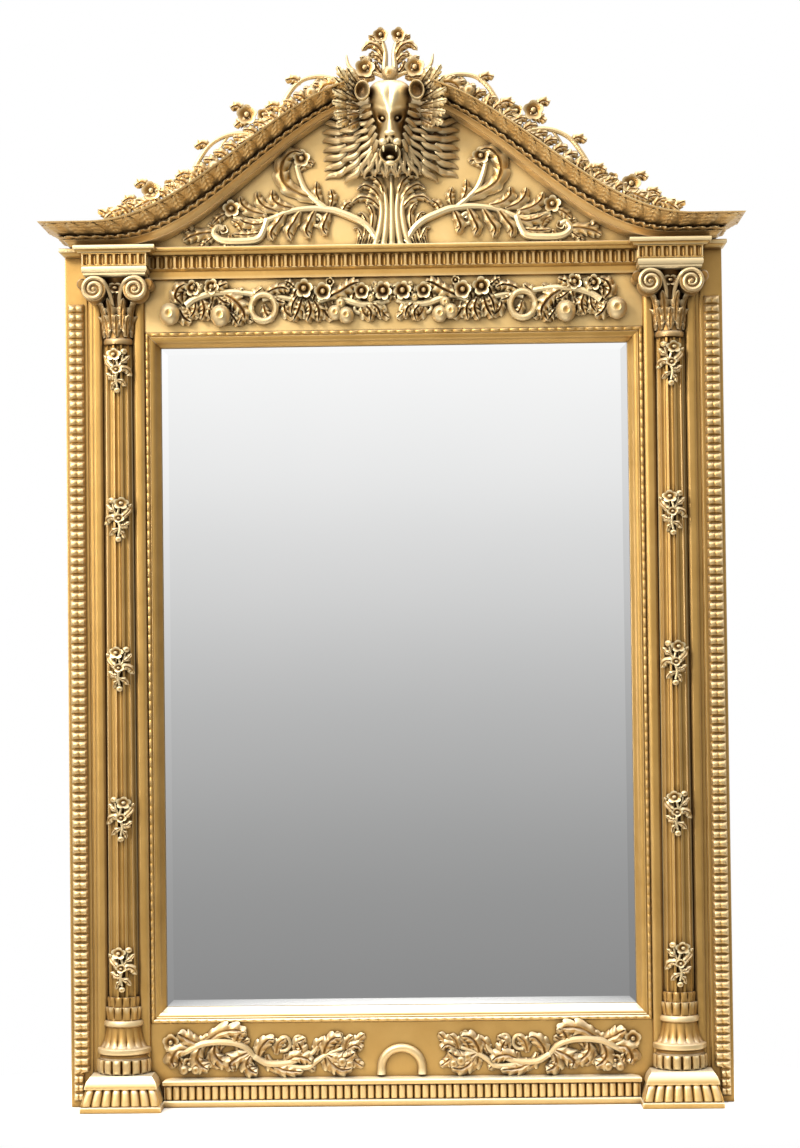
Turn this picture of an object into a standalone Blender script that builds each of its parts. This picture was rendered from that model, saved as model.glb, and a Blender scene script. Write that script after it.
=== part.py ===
"""Carved giltwood wall mirror: a bevelled plate in a joined frame, half columns, entablature and ogee pediment.

Metres, +Z up. The wall is the plane y = 0 and the room lies towards -Y. Heights are worked out from the
underside of the frame, which hangs below the origin: the origin is the middle of the top rail's back face.
"""

import math

import bmesh
import bpy
from mathutils import Matrix, Vector

# Clearance between pieces that touch
GAP = 0.0003

# Neighbouring facets of a joined shape that lie closer than this angle, in degrees, become one
FLATNESS = 5
SHORTEST_EDGE = 0.0001

# Frame: widths across the front
SIGHT_WIDTH = 0.940
SIGHT_HEIGHT = 1.324
SIGHT_MOULDING_WIDTH = 0.030
PILASTER_WIDTH = 0.106
STILE_FLAT_WIDTH = 0.016
RIB_WIDTH = 0.032
OUTER_FILLET_WIDTH = 0.006

# Frame: depths measured from the wall
CARCASS_DEPTH = 0.045
PILASTER_RAISE = 0.006
RIB_RAISE = 0.015
RIB_CUT = 0.0065

# Heights of the bottom rail's members
BASE_FILLET_HEIGHT = 0.012
REED_HEIGHT = 0.030
BASE_CAP_HEIGHT = 0.014
LOWER_FRIEZE_HEIGHT = 0.108
BASE_BAND_RAISE = 0.018

# Heights of the entablature's members
UPPER_FRIEZE_HEIGHT = 0.104
FASCIA_HEIGHT = 0.022
FLUTE_HEIGHT = 0.026
SHELF_HEIGHT = 0.016
FASCIA_RAISE = 0.010
FLUTE_RAISE = 0.018
SHELF_RAISE = 0.036
SHELF_OVERHANG = 0.008
RIB_STOP = 0.046

# Repeats
RIB_PITCH = 0.0176
REED_PITCH = 0.0155
FLUTE_PITCH = 0.0165
REED_CUT = 0.006

# Mirror plate and its backing
GLASS_THICKNESS = 0.006
GLASS_BEVEL_WIDTH = 0.014
GLASS_BEVEL_DEPTH = 0.003
REBATE_WIDTH = 0.010
BACK_BOARD_THICKNESS = 0.007
SIGHT_LIP_DEPTH = 0.0245
BEAD_RADIUS = 0.0042

# Columns
SHAFT_FOOT_RADIUS = 0.030
SHAFT_HEAD_RADIUS = 0.026
FLUTE_CUT = 0.0035
SHAFT_FLUTES = 5
PLINTH_WIDTH = 0.160
PLINTH_FILLET_HEIGHT = 0.010
PLINTH_REED_HEIGHT = 0.035
PLINTH_CAP_HEIGHT = 0.024
PLINTH_REEDS = 7
PLINTH_SIDE_REEDS = 3
PLINTH_TAPER = 0.011
BASE_HEIGHT = 0.151
BASE_RADIUS = 0.056
NECK_RING_HEIGHT = 0.015
BELL_HEIGHT = 0.072
VOLUTE_RADIUS = 0.024
VOLUTE_THICKNESS = 0.022
ABACUS_WIDTH = 0.130
ABACUS_HEIGHT = 0.018

# Sprigs on the columns
SPRIGS = 5
SPRIG_HEIGHT = 0.092
SPRIG_RAISE = 0.011

# Pediment
CORNICE_HEIGHT = 0.042
CORNICE_PROJECTION = 0.110
CORNICE_OVERHANG = 0.040
TYMPANUM_DEPTH = 0.052
TYMPANUM_SPAN = 0.540
TYMPANUM_RISE = 0.289
RAKE_SPAN = 0.600
RAKE_RISE = 0.284
RAKE_STATIONS = 13

# Relief carving: how far each ornament stands off its ground
GARLAND_RAISE = 0.020
LOWER_SCROLL_RAISE = 0.013
TYMPANUM_SCROLL_RAISE = 0.016
VINE_RADIUS = 0.0042

# Crest carving
CREST_HALF_WIDTH = 0.088
RUFF_RADIUS = 0.132
HEAD_HEIGHT = 0.142
HEAD_WIDTH = 0.084
MUZZLE_REACH = 0.088
HEAD_DROP = 0.062
HEAD_FORWARD = 0.048
NAPE_HEIGHT = 0.110
SPRAY_HEIGHT = 0.112

# Places worked out from the sizes above
INNER_HALF = SIGHT_WIDTH / 2 + SIGHT_MOULDING_WIDTH
OUTER_HALF = INNER_HALF + PILASTER_WIDTH + STILE_FLAT_WIDTH + RIB_WIDTH + OUTER_FILLET_WIDTH
COLUMN_X = INNER_HALF + PILASTER_WIDTH / 2
PILASTER_DEPTH = CARCASS_DEPTH + PILASTER_RAISE
LOWER_FRIEZE_Z = BASE_FILLET_HEIGHT + REED_HEIGHT + BASE_CAP_HEIGHT
BOTTOM_RAIL_TOP = LOWER_FRIEZE_Z + LOWER_FRIEZE_HEIGHT
SIGHT_Z = BOTTOM_RAIL_TOP + SIGHT_MOULDING_WIDTH
SIGHT_TOP = SIGHT_Z + SIGHT_HEIGHT
TOP_RAIL_Z = SIGHT_TOP + SIGHT_MOULDING_WIDTH
FASCIA_Z = TOP_RAIL_Z + UPPER_FRIEZE_HEIGHT
FLUTE_Z = FASCIA_Z + FASCIA_HEIGHT
SHELF_Z = FLUTE_Z + FLUTE_HEIGHT
PEDIMENT_Z = SHELF_Z + SHELF_HEIGHT
CORNICE_TOP = PEDIMENT_Z + CORNICE_HEIGHT
CREST_TOP = CORNICE_TOP + RAKE_RISE
PLINTH_HEIGHT = PLINTH_FILLET_HEIGHT + PLINTH_REED_HEIGHT + PLINTH_CAP_HEIGHT
SHAFT_Z = PLINTH_HEIGHT + BASE_HEIGHT
CAPITAL_TOP = FLUTE_Z
ABACUS_Z = CAPITAL_TOP - ABACUS_HEIGHT
VOLUTE_Z = ABACUS_Z - VOLUTE_RADIUS
BELL_Z = ABACUS_Z - 2 * VOLUTE_RADIUS - BELL_HEIGHT
SHAFT_TOP = BELL_Z - NECK_RING_HEIGHT
BLOCK_DEPTH = PILASTER_DEPTH + ABACUS_WIDTH / 2
HANGING_HEIGHT = (TOP_RAIL_Z + SHELF_Z) / 2

for obj in list(bpy.data.objects):
    bpy.data.objects.remove(obj)

PARTS = bpy.data.collections.new("wall_mirror")
WORKSHOP = bpy.data.collections.new("workshop")
for collection in (PARTS, WORKSHOP):
    bpy.context.scene.collection.children.link(collection)

UNDERSIDE = bpy.data.objects.new("underside_of_frame", None)
UNDERSIDE.location = (0, 0, -HANGING_HEIGHT)
PARTS.objects.link(UNDERSIDE)


def finish(name, colour, roughness, metallic):
    """A Principled material of one colour."""
    made = bpy.data.materials.new(name)
    made.use_nodes = True
    shader = made.node_tree.nodes["Principled BSDF"]
    shader.inputs["Base Color"].default_value = (*colour, 1)
    shader.inputs["Roughness"].default_value = roughness
    shader.inputs["Metallic"].default_value = metallic
    return made


GILDING = finish("water_gilding", (0.56, 0.36, 0.11), 0.36, 1.0)
BARE_WOOD = finish("bare_pine", (0.42, 0.27, 0.15), 0.75, 0.0)
SILVERED_GLASS = finish("silvered_glass", (0.90, 0.90, 0.90), 0.03, 1.0)


def at(x, depth, z):
    """A point given by its distance in front of the wall."""
    return Vector((x, -depth, z))


def shape(name, mesh):
    """A mesh object in the workshop, hung from the underside of the frame."""
    made = bpy.data.objects.new(name, mesh)
    WORKSHOP.objects.link(made)
    made.parent = UNDERSIDE
    return made


def keep(made, name, material=GILDING, smooth=True):
    """Moves a finished shape from the workshop to the mirror and gives it its name and finish."""
    WORKSHOP.objects.unlink(made)
    PARTS.objects.link(made)
    made.name = name
    made.data.materials.clear()
    made.data.materials.append(material)
    if smooth:
        made.data.shade_smooth()
        made.data.set_sharp_from_angle(angle=math.radians(35))
    return made


def from_bmesh(name, bm):
    """A workshop shape from a bmesh, with its faces turned outwards."""
    bmesh.ops.recalc_face_normals(bm, faces=bm.faces)
    if bm.calc_volume(signed=True) < 0:
        bmesh.ops.reverse_faces(bm, faces=bm.faces)
    mesh = bpy.data.meshes.new(name)
    bm.to_mesh(mesh)
    bm.free()
    return shape(name, mesh)


def block(name, low, high):
    """A box between two corners."""
    bm = bmesh.new()
    bmesh.ops.create_cube(bm, size=1)
    size = [high[i] - low[i] for i in range(3)]
    middle = [(high[i] + low[i]) / 2 for i in range(3)]
    bmesh.ops.scale(bm, vec=size, verts=bm.verts)
    bmesh.ops.translate(bm, vec=middle, verts=bm.verts)
    return from_bmesh(name, bm)


def slab(name, half_width, depths, heights):
    """A box centred across the mirror, between two depths and two heights."""
    return block(
        name,
        (-half_width, -depths[1], heights[0]),
        (half_width, -depths[0], heights[1]),
    )


def loft(name, rings):
    """A closed solid carried through rings with the same number of points, with a flat face at each end."""
    bm = bmesh.new()
    rows = [[bm.verts.new(point) for point in ring] for ring in rings]
    count = len(rings[0])
    for first, second in zip(rows, rows[1:]):
        for i in range(count):
            j = (i + 1) % count
            bm.faces.new((first[i], first[j], second[j], second[i]))
    bm.faces.new(rows[0][::-1])
    bm.faces.new(rows[-1])
    return from_bmesh(name, bm)


def extruded(name, outline, thickness, placing):
    """A flat outline extruded by a thickness: its plane and place are set by a matrix."""
    curve = bpy.data.curves.new(name, "CURVE")
    curve.dimensions = "2D"
    curve.fill_mode = "BOTH"
    curve.extrude = thickness / 2
    spline = curve.splines.new("POLY")
    spline.points.add(len(outline) - 1)
    for point, (u, v) in zip(spline.points, outline):
        point.co = (u, v, 0, 1)
    spline.use_cyclic_u = True
    guide = bpy.data.objects.new(name, curve)
    WORKSHOP.objects.link(guide)
    return from_curve(guide, placing)


def from_curve(guide, placing=None):
    """The welded mesh of a curve object, which is then removed."""
    bpy.context.view_layer.update()
    graph = bpy.context.evaluated_depsgraph_get()
    mesh = bpy.data.meshes.new_from_object(guide.evaluated_get(graph))
    name = guide.name
    bpy.data.objects.remove(guide)
    bm = bmesh.new()
    bm.from_mesh(mesh)
    bpy.data.meshes.remove(mesh)
    if placing:
        bm.transform(placing)
    bmesh.ops.remove_doubles(bm, verts=bm.verts, dist=0.00001)
    return from_bmesh(name, bm)


def rod(name, points, radii, sides=4):
    """A round rod along a route, with a radius at each point."""
    curve = bpy.data.curves.new(name, "CURVE")
    curve.dimensions = "3D"
    curve.bevel_depth = 1
    curve.bevel_resolution = (sides - 4) // 2
    curve.use_fill_caps = True
    spline = curve.splines.new("POLY")
    spline.points.add(len(points) - 1)
    for point, place, radius in zip(spline.points, points, radii):
        point.co = (*place, 1)
        point.radius = radius
    guide = bpy.data.objects.new(name, curve)
    WORKSHOP.objects.link(guide)
    return from_curve(guide)


def ball(name, centre, radii, segments=8, rings=6):
    """A faceted ellipsoid."""
    bm = bmesh.new()
    bmesh.ops.create_uvsphere(bm, u_segments=segments, v_segments=rings, radius=1)
    bmesh.ops.rotate(bm, verts=bm.verts, cent=(0, 0, 0), matrix=Matrix.Rotation(math.pi / 2, 3, "X"))
    bmesh.ops.scale(bm, vec=radii, verts=bm.verts)
    bmesh.ops.translate(bm, vec=centre, verts=bm.verts)
    return from_bmesh(name, bm)


def smooth_route(points, count):
    """Count points evenly spaced in parameter on the Catmull-Rom curve through the given points."""
    knots = [Vector(p) for p in points]
    knots = [2 * knots[0] - knots[1], *knots, 2 * knots[-1] - knots[-2]]
    spans = len(knots) - 3
    route = []
    for i in range(count):
        place = i / (count - 1) * spans
        k = min(int(place), spans - 1)
        t = place - k
        a, b, c, d = knots[k : k + 4]
        route.append(
            b + t * (c - a) / 2
            + t * t * (a - 2.5 * b + 2 * c - 0.5 * d)
            + t * t * t * (1.5 * (b - c) + 0.5 * (d - a))
        )
    return route


def carve(name, points, half_width, raise_by, ground, segments=5, form="leaf", sink=0.001):
    """A ridged stroke of carving along a route in the (x, z) plane: each section is a triangle with its crest
    on the route. A leaf swells in its middle and its edges are toothed, and a scroll tapers from its foot. The
    edge inside a bend is kept nearer than the bend's own centre."""
    route = smooth_route(points, segments + 1)
    rings = []
    for i, here in enumerate(route):
        s = i / segments
        back, ahead = here - route[max(i - 1, 0)], route[min(i + 1, segments)] - here
        along = (back + ahead).normalized()
        across = Vector((-along.y, along.x))
        if form == "leaf":
            swell = 0.16 + 0.84 * math.sin(math.pi * min(1, 0.12 + 0.86 * s)) ** 0.8
            tooth = 0.72 if i % 2 else 1.0
        else:
            swell = 1.0 - 0.62 * s
            tooth = 1.0
        reach = half_width * swell * tooth
        turn = 0.0
        if 0 < i < segments:
            turn = math.atan2(back.x * ahead.y - back.y * ahead.x, back.dot(ahead))
        bend = 0.8 * (back.length + ahead.length) / 2 / max(abs(turn), 0.001)
        left = here + across * min(reach, bend if turn > 0 else reach)
        right = here - across * min(reach, bend if turn < 0 else reach)
        rings.append((
            at(left.x, ground(left.x) - sink, left.y),
            at(here.x, ground(here.x) + raise_by * (0.35 + 0.65 * swell), here.y),
            at(right.x, ground(right.x) - sink, right.y),
        ))
    return loft(name, rings)


def blossom(name, x, z, radius, raise_by, ground, petals=4, sink=0.001):
    """An open flower: a rim that rises and falls with its petals, round a domed middle."""
    bm = bmesh.new()
    rim, foot = [], []
    for i in range(2 * petals):
        angle = math.pi * (i + 0.5) / petals
        reach = radius * (0.66 if i % 2 else 1.0)
        px, pz = x + reach * math.cos(angle), z + reach * math.sin(angle)
        rim.append(bm.verts.new(at(px, ground(px) + 0.55 * raise_by, pz)))
        foot.append(bm.verts.new(at(px, ground(px) - sink, pz)))
    crown = bm.verts.new(at(x, ground(x) + raise_by, z))
    for i in range(2 * petals):
        j = (i + 1) % (2 * petals)
        bm.faces.new((rim[i], rim[j], crown))
        bm.faces.new((foot[i], foot[j], rim[j], rim[i]))
    bm.faces.new(foot)
    return from_bmesh(name, bm)


def fuse(name, shapes, trims=(), solver="EXACT", flatness=FLATNESS):
    """One solid from overlapping shapes, less the trims, as a mesh with no modifier left on it. Relief carving,
    whose many low facets nearly share planes, is joined with the MANIFOLD solver."""
    base = shapes[0]
    for operation, others in (("UNION", shapes[1:]), ("DIFFERENCE", trims)):
        for other in others:
            step = base.modifiers.new(operation, "BOOLEAN")
            step.operation = operation
            step.solver = solver
            step.object = other
    bpy.context.view_layer.update()
    graph = bpy.context.evaluated_depsgraph_get()
    mesh = bpy.data.meshes.new_from_object(base.evaluated_get(graph))
    for used in (*shapes, *trims):
        bpy.data.objects.remove(used)
    bm = bmesh.new()
    bm.from_mesh(mesh)
    bpy.data.meshes.remove(mesh)
    bmesh.ops.dissolve_degenerate(bm, dist=SHORTEST_EDGE, edges=bm.edges)
    bmesh.ops.dissolve_limit(bm, angle_limit=math.radians(flatness), verts=bm.verts, edges=bm.edges)
    bmesh.ops.dissolve_degenerate(bm, dist=SHORTEST_EDGE / 4, edges=bm.edges)
    bmesh.ops.holes_fill(bm, edges=[e for e in bm.edges if e.is_boundary])
    part_touching(bm)
    drop_flakes(bm)
    return from_bmesh(name, bm)


def part_touching(bm):
    """Parts, by a hair, the places where a solid's skin would meet itself at a single point."""
    for vert in [v for v in bm.verts if not v.is_manifold]:
        for twin in bmesh.utils.vert_separate(vert, []):
            around = [e.other_vert(twin).co for e in twin.link_edges]
            inwards = sum(around, Vector()) / len(around) - twin.co
            twin.co += inwards.normalized() * GAP / 3


def drop_flakes(bm):
    """Removes the loose flakes with no thickness that trimming can leave."""
    left = set(bm.verts)
    flakes = []
    while left:
        island = {left.pop()}
        edge = set(island)
        while edge:
            edge = {e.other_vert(v) for v in edge for e in v.link_edges} - island
            island |= edge
        left -= island
        sides = [max(v.co[k] for v in island) - min(v.co[k] for v in island) for k in range(3)]
        if min(sides) < GAP / 10:
            flakes += island
    bmesh.ops.delete(bm, geom=flakes, context="VERTS")


def behind(depth):
    """A cutter that fills everything from behind the wall up to a depth and a clearance."""
    return slab("behind", 2, (-1, depth + GAP), (-1, 4))


def mirrored(made, name):
    """The left-hand twin of a right-hand piece."""
    mesh = made.data.copy()
    mesh.transform(Matrix.Scale(-1, 4, (1, 0, 0)))
    mesh.flip_normals()
    twin = bpy.data.objects.new(name, mesh)
    PARTS.objects.link(twin)
    twin.parent = UNDERSIDE
    return twin


def pair(made, name, material=GILDING, smooth=True):
    """Keeps a right-hand piece and its left-hand twin."""
    keep(made, "right_" + name, material, smooth)
    mirrored(made, "left_" + name)


def wave(length, pitch, low, high):
    """Points of a ridge and groove outline along a length: a whole number of ridges, near the pitch apart."""
    count = max(2, round(length / pitch))
    step = length / count
    points = [(0, low)]
    for i in range(count):
        points += [((i + 0.5) * step, high), ((i + 1) * step, low)]
    return points


# Plan view of an extruded outline: u runs across the mirror, v towards the room, and it is extruded upwards
def upright(x, depth, z):
    return Matrix(((1, 0, 0, x), (0, -1, 0, -depth), (0, 0, 1, z), (0, 0, 0, 1)))


# Side view of an extruded outline: u runs up, v towards the room, and it is extruded across
def sideways(x, depth, z):
    return Matrix(((0, 0, 1, x), (0, -1, 0, -depth), (1, 0, 0, z), (0, 0, 0, 1)))


# Front view of an extruded outline: u runs across, v up, and it is extruded towards the room
def frontal(x, depth, z):
    return Matrix(((1, 0, 0, x), (0, 0, 1, -depth), (0, 1, 0, z), (0, 0, 0, 1)))


# Carcass: two stiles, each with a raised pilaster strip, and two rails between them
def stile():
    inner, outer = INNER_HALF + GAP, OUTER_HALF
    strip = INNER_HALF + PILASTER_WIDTH
    outline = [
        (inner, 0),
        (inner, PILASTER_DEPTH),
        (strip, PILASTER_DEPTH),
        (strip, CARCASS_DEPTH),
        (outer, CARCASS_DEPTH),
        (outer, 0),
    ]
    pair(extruded("stile", outline, SHELF_Z, upright(0, 0, SHELF_Z / 2)), "stile", smooth=False)


def rails():
    half = INNER_HALF - GAP
    keep(slab("rail", half, (0, CARCASS_DEPTH), (0, BOTTOM_RAIL_TOP - GAP)), "bottom_rail", smooth=False)
    keep(slab("rail", half, (0, CARCASS_DEPTH), (TOP_RAIL_Z + GAP, SHELF_Z)), "top_rail", smooth=False)


# Ribbed moulding down each outer edge, cut like a row of small gadroons
def ribbed_mouldings():
    foot, top = BASE_FILLET_HEIGHT, FASCIA_Z - RIB_STOP
    middle = OUTER_HALF - OUTER_FILLET_WIDTH - RIB_WIDTH / 2
    seat = CARCASS_DEPTH + GAP
    ribs = wave(top - foot, RIB_PITCH, RIB_RAISE - RIB_CUT, RIB_RAISE)
    outline = [(0, 0), *ribs, (top - foot, 0)]
    ribs = extruded("ribs", outline, RIB_WIDTH, sideways(middle, seat, foot))
    plinth = block("plinth", (0, -1, -1), (COLUMN_X + PLINTH_WIDTH / 2 + GAP, 1, PLINTH_HEIGHT + GAP))
    pair(fuse("ribs", [ribs], [plinth]), "ribbed_moulding", smooth=False)


# Sight moulding: four mitred lengths with a bead, a slope to the glass, and a rebate behind
def sight_profile():
    """(distance in from the outer edge, depth) round the section."""
    width, lip = SIGHT_MOULDING_WIDTH, SIGHT_LIP_DEPTH
    bead = [
        (
            BEAD_RADIUS - BEAD_RADIUS * math.cos(math.pi * i / 4),
            CARCASS_DEPTH + BEAD_RADIUS * math.sin(math.pi * i / 4),
        )
        for i in range(5)
    ]
    slope = [(width * 0.36, CARCASS_DEPTH - 0.002), (width * 0.72, CARCASS_DEPTH - 0.012), (width, lip + 0.003)]
    rebate = width - REBATE_WIDTH
    return [(0, 0.004), *bead, *slope, (width, lip), (rebate, lip), (rebate, 0.004)]


def sight_mouldings():
    half, low, high = INNER_HALF, BOTTOM_RAIL_TOP, TOP_RAIL_Z
    corners = {"bottom": (-half, low), "right": (half, low), "top": (half, high), "left": (-half, high)}
    inward = {"bottom": (1, 1), "right": (-1, 1), "top": (-1, -1), "left": (1, -1)}
    sides = list(corners)
    for i, side in enumerate(sides):
        after = sides[(i + 1) % 4]
        rings = []
        for corner in (side, after):
            x, z = corners[corner]
            ux, uz = inward[corner]
            rings.append([at(x + ux * w, d, z + uz * w) for w, d in sight_profile()])
        start, end = corners[side], corners[after]
        along = Vector((end[0] - start[0], 0, end[1] - start[1])).normalized()
        rings[0] = [p + along * GAP / 2 for p in rings[0]]
        rings[1] = [p - along * GAP / 2 for p in rings[1]]
        keep(loft("sight", rings), "sight_moulding_" + side, smooth=False)


# Mirror plate with a ground bevel round its front, and the board that closes the back
def plate():
    lap = REBATE_WIDTH - GAP
    half = SIGHT_WIDTH / 2 + lap
    low, high = SIGHT_Z - lap, SIGHT_TOP + lap
    front = SIGHT_LIP_DEPTH - GAP
    levels = (
        (0, front - GLASS_THICKNESS),
        (0, front - GLASS_BEVEL_DEPTH),
        (lap + GLASS_BEVEL_WIDTH, front),
    )
    rings = []
    for inset, depth in levels:
        x, z0, z1 = half - inset, low + inset, high - inset
        rings.append([at(-x, depth, z0), at(x, depth, z0), at(x, depth, z1), at(-x, depth, z1)])
    keep(loft("plate", rings), "mirror_plate", SILVERED_GLASS, smooth=False)
    board_front = front - GLASS_THICKNESS - GAP
    board = slab("board", half, (board_front - BACK_BOARD_THICKNESS, board_front), (low, high))
    keep(board, "back_board", BARE_WOOD, smooth=False)


# Plain parts of the entablature and of the bottom rail
def base_band():
    """Reeded strip along the foot of the bottom rail, between a fillet and a cap."""
    half = COLUMN_X - PLINTH_WIDTH / 2 - GAP
    seat = CARCASS_DEPTH + GAP
    reeds = wave(2 * half, REED_PITCH, BASE_BAND_RAISE - REED_CUT, BASE_BAND_RAISE)
    outline = [(0, 0), *reeds, (2 * half, 0)]
    lap = 0.004
    height = REED_HEIGHT + 2 * lap
    middle = BASE_FILLET_HEIGHT + REED_HEIGHT / 2
    front = seat + BASE_BAND_RAISE
    shapes = [
        slab("fillet", half, (seat, front + 0.003), (0, BASE_FILLET_HEIGHT)),
        extruded("reeds", outline, height, upright(-half, seat, middle)),
        slab("cap", half, (seat, front + 0.001), (BASE_FILLET_HEIGHT + REED_HEIGHT, LOWER_FRIEZE_Z)),
    ]
    keep(fuse("band", shapes), "reeded_base_band", smooth=False)


def fluted_band():
    """Fluted strip over the upper frieze, on a plain fascia."""
    half = COLUMN_X - ABACUS_WIDTH / 2 - GAP
    seat = CARCASS_DEPTH + GAP
    flutes = wave(2 * half, FLUTE_PITCH, FLUTE_RAISE - REED_CUT, FLUTE_RAISE)
    outline = [(0, 0), *flutes, (2 * half, 0)]
    middle = FLUTE_Z + (FLUTE_HEIGHT - GAP) / 2
    strip = extruded("flutes", outline, FLUTE_HEIGHT - GAP, upright(-half, seat, middle))
    fascia = slab("fascia", half, (seat, seat + FASCIA_RAISE), (FASCIA_Z, FLUTE_Z + 0.002))
    keep(fuse("band", [fascia, strip]), "fluted_frieze_band", smooth=False)


def entablature_blocks():
    """A fluted block over each capital, standing forward of the band between them."""
    half = ABACUS_WIDTH / 2
    front = BLOCK_DEPTH - PILASTER_DEPTH - GAP
    face = wave(ABACUS_WIDTH, FLUTE_PITCH, front - REED_CUT, front)
    outline = [(0, 0), *face, (ABACUS_WIDTH, 0)]
    height = SHELF_Z - FLUTE_Z - 2 * GAP
    placing = upright(COLUMN_X - half, PILASTER_DEPTH + GAP, FLUTE_Z + GAP + height / 2)
    pair(extruded("block", outline, height, placing), "entablature_block", smooth=False)


def cornice_shelf():
    """Plain shelf that carries the pediment, breaking forward over the two blocks."""
    half = OUTER_HALF + SHELF_OVERHANG
    middle, forward = CARCASS_DEPTH + SHELF_RAISE, BLOCK_DEPTH + SHELF_OVERHANG
    inner = COLUMN_X - ABACUS_WIDTH / 2 - SHELF_OVERHANG
    outer = COLUMN_X + ABACUS_WIDTH / 2 + SHELF_OVERHANG
    right = [(inner, middle), (inner, forward), (outer, forward), (outer, middle), (half, middle), (half, 0)]
    outline = right + [(-x, d) for x, d in reversed(right)]
    height = SHELF_HEIGHT - 2 * GAP
    shelf = extruded("shelf", outline, height, upright(0, 0, SHELF_Z + SHELF_HEIGHT / 2))
    keep(shelf, "cornice_shelf", smooth=False)


# Pediment: a raised-cosine arch that flares out to the level cornice at each end
def arch(x, span, low, rise):
    return low + rise * (1 + math.cos(math.pi * min(abs(x) / span, 1))) / 2


def arch_stations(span, low, rise):
    """Points (x, z) down the right side of an arch, from the crest block to the end of its span."""
    start = CREST_HALF_WIDTH + GAP
    places = [start + (span - start) * i / (RAKE_STATIONS - 1) for i in range(RAKE_STATIONS)]
    return [(x, arch(x, span, low, rise)) for x in places]


def above_arch(side, stations):
    """A cutter that fills the room over the inner edge of one raking cornice, with a clearance below it."""
    edge = arch_stations(TYMPANUM_SPAN, PEDIMENT_Z, TYMPANUM_RISE)[:stations]
    outline = [(side * CREST_HALF_WIDTH, 3), (side * CREST_HALF_WIDTH, edge[0][1] - GAP)]
    outline += [(side * x, z - GAP) for x, z in edge]
    outline += [(side * edge[-1][0], 3)]
    return extruded("arch", outline, 1, frontal(0, 0.5, 0))


def tympanum():
    """The board behind the arch, with its foot on the shelf."""
    half = RAKE_SPAN + 0.020
    steps = 2 * RAKE_STATIONS
    top = [half - 2 * half * i / steps for i in range(steps + 1)]
    inset = 0.004
    outline = [(x, arch(x, RAKE_SPAN, CORNICE_TOP - inset, RAKE_RISE)) for x in top]
    outline = [(half, PEDIMENT_Z), *outline, (-half, PEDIMENT_Z)]
    board = extruded("board", outline, TYMPANUM_DEPTH - GAP, frontal(0, (TYMPANUM_DEPTH - GAP) / 2, 0))
    keep(board, "tympanum_board", smooth=False)


RAKE_PROFILE = (
    # share of the way from the arch's inner edge to its outer edge, share of the projection
    (0.00, 0.16),
    (0.14, 0.22),
    (0.34, 0.42),
    (0.40, 0.50),
    (0.47, 0.50),
    (0.53, 0.46),
    (0.70, 0.64),
    (0.90, 0.92),
    (1.00, 1.00),
)


def raking_cornices():
    """Cornice that follows the arch, levels out and returns to the wall at its end."""
    seat = TYMPANUM_DEPTH + GAP

    def ring(inner, outer, spread=0.0, depth=None):
        points = []
        for share, push in ((0, 0), *RAKE_PROFILE, (1, 0)):
            x = inner[0] + (outer[0] - inner[0]) * share
            z = inner[1] + (outer[1] - inner[1]) * share
            forward = CORNICE_PROJECTION * push
            points.append(at(x + spread * push, seat + forward if depth is None else depth, z))
        return points

    lows = arch_stations(TYMPANUM_SPAN, PEDIMENT_Z + GAP, TYMPANUM_RISE)
    highs = arch_stations(RAKE_SPAN, CORNICE_TOP, RAKE_RISE)
    rings = [ring(low, high) for low, high in zip(lows, highs)]
    end = RAKE_SPAN + 0.020 + GAP
    reach = OUTER_HALF + CORNICE_OVERHANG - end
    low, high = (end, PEDIMENT_Z + GAP), (end, CORNICE_TOP)
    rings.append(ring(low, high, reach))
    rings.append(ring(low, high, reach, GAP))
    pair(loft("cornice", rings), "raking_cornice")


# Columns: plinth, base, fluted half shaft and capital
def plinths():
    """Square block with a fillet, a flared reeded band and a cap with sloping sides."""
    half, axis = PLINTH_WIDTH / 2, PILASTER_DEPTH
    seat = PILASTER_DEPTH + GAP

    def plain(shrink, z):
        w, d = half - shrink, axis + half - shrink
        left, right = COLUMN_X - w, COLUMN_X + w
        return [at(left, seat, z), at(left, d, z), at(right, d, z), at(right, seat, z)]

    def reeded(shrink, z):
        w = half - shrink
        back = seat + GAP
        front = wave(2 * w, 2 * w / PLINTH_REEDS, -REED_CUT, 0)
        side = wave(w, w / PLINTH_SIDE_REEDS, -REED_CUT, 0)
        points = [at(COLUMN_X - w - cut, back + u * (w - 2 * GAP) / w, z) for u, cut in side[:-1]]
        points += [at(COLUMN_X - w + u, axis + w + cut, z) for u, cut in front]
        points += [at(COLUMN_X + w + cut, back + (w - u) * (w - 2 * GAP) / w, z) for u, cut in side[1:]]
        return points

    reed_z = PLINTH_FILLET_HEIGHT
    cap_z = reed_z + PLINTH_REED_HEIGHT
    shapes = [
        loft("fillet", [plain(0, 0), plain(0, reed_z)]),
        loft("reeds", [reeded(0.002, reed_z - 0.003), reeded(PLINTH_TAPER, cap_z + 0.003)]),
        loft("cap", [plain(PLINTH_TAPER - 0.003, cap_z), plain(PLINTH_TAPER + 0.006, PLINTH_HEIGHT - GAP)]),
    ]
    pair(fuse("plinth", shapes), "plinth", smooth=False)


def half_round(radius, z, flutes=0, cut=0.0, steps=10):
    """A ring for a half column: an arc in front of the pilaster, closed along the pilaster's face. With flutes,
    the arc has a ridge and a groove for each."""
    seat = PILASTER_DEPTH + GAP
    count = 2 * flutes if flutes else steps
    points = []
    for i in range(count + 1):
        angle = math.pi * i / count
        reach = radius - (cut if flutes and i % 2 == 0 else 0)
        points.append(at(COLUMN_X - reach * math.cos(angle), seat + reach * math.sin(angle), z))
    return points


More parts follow.
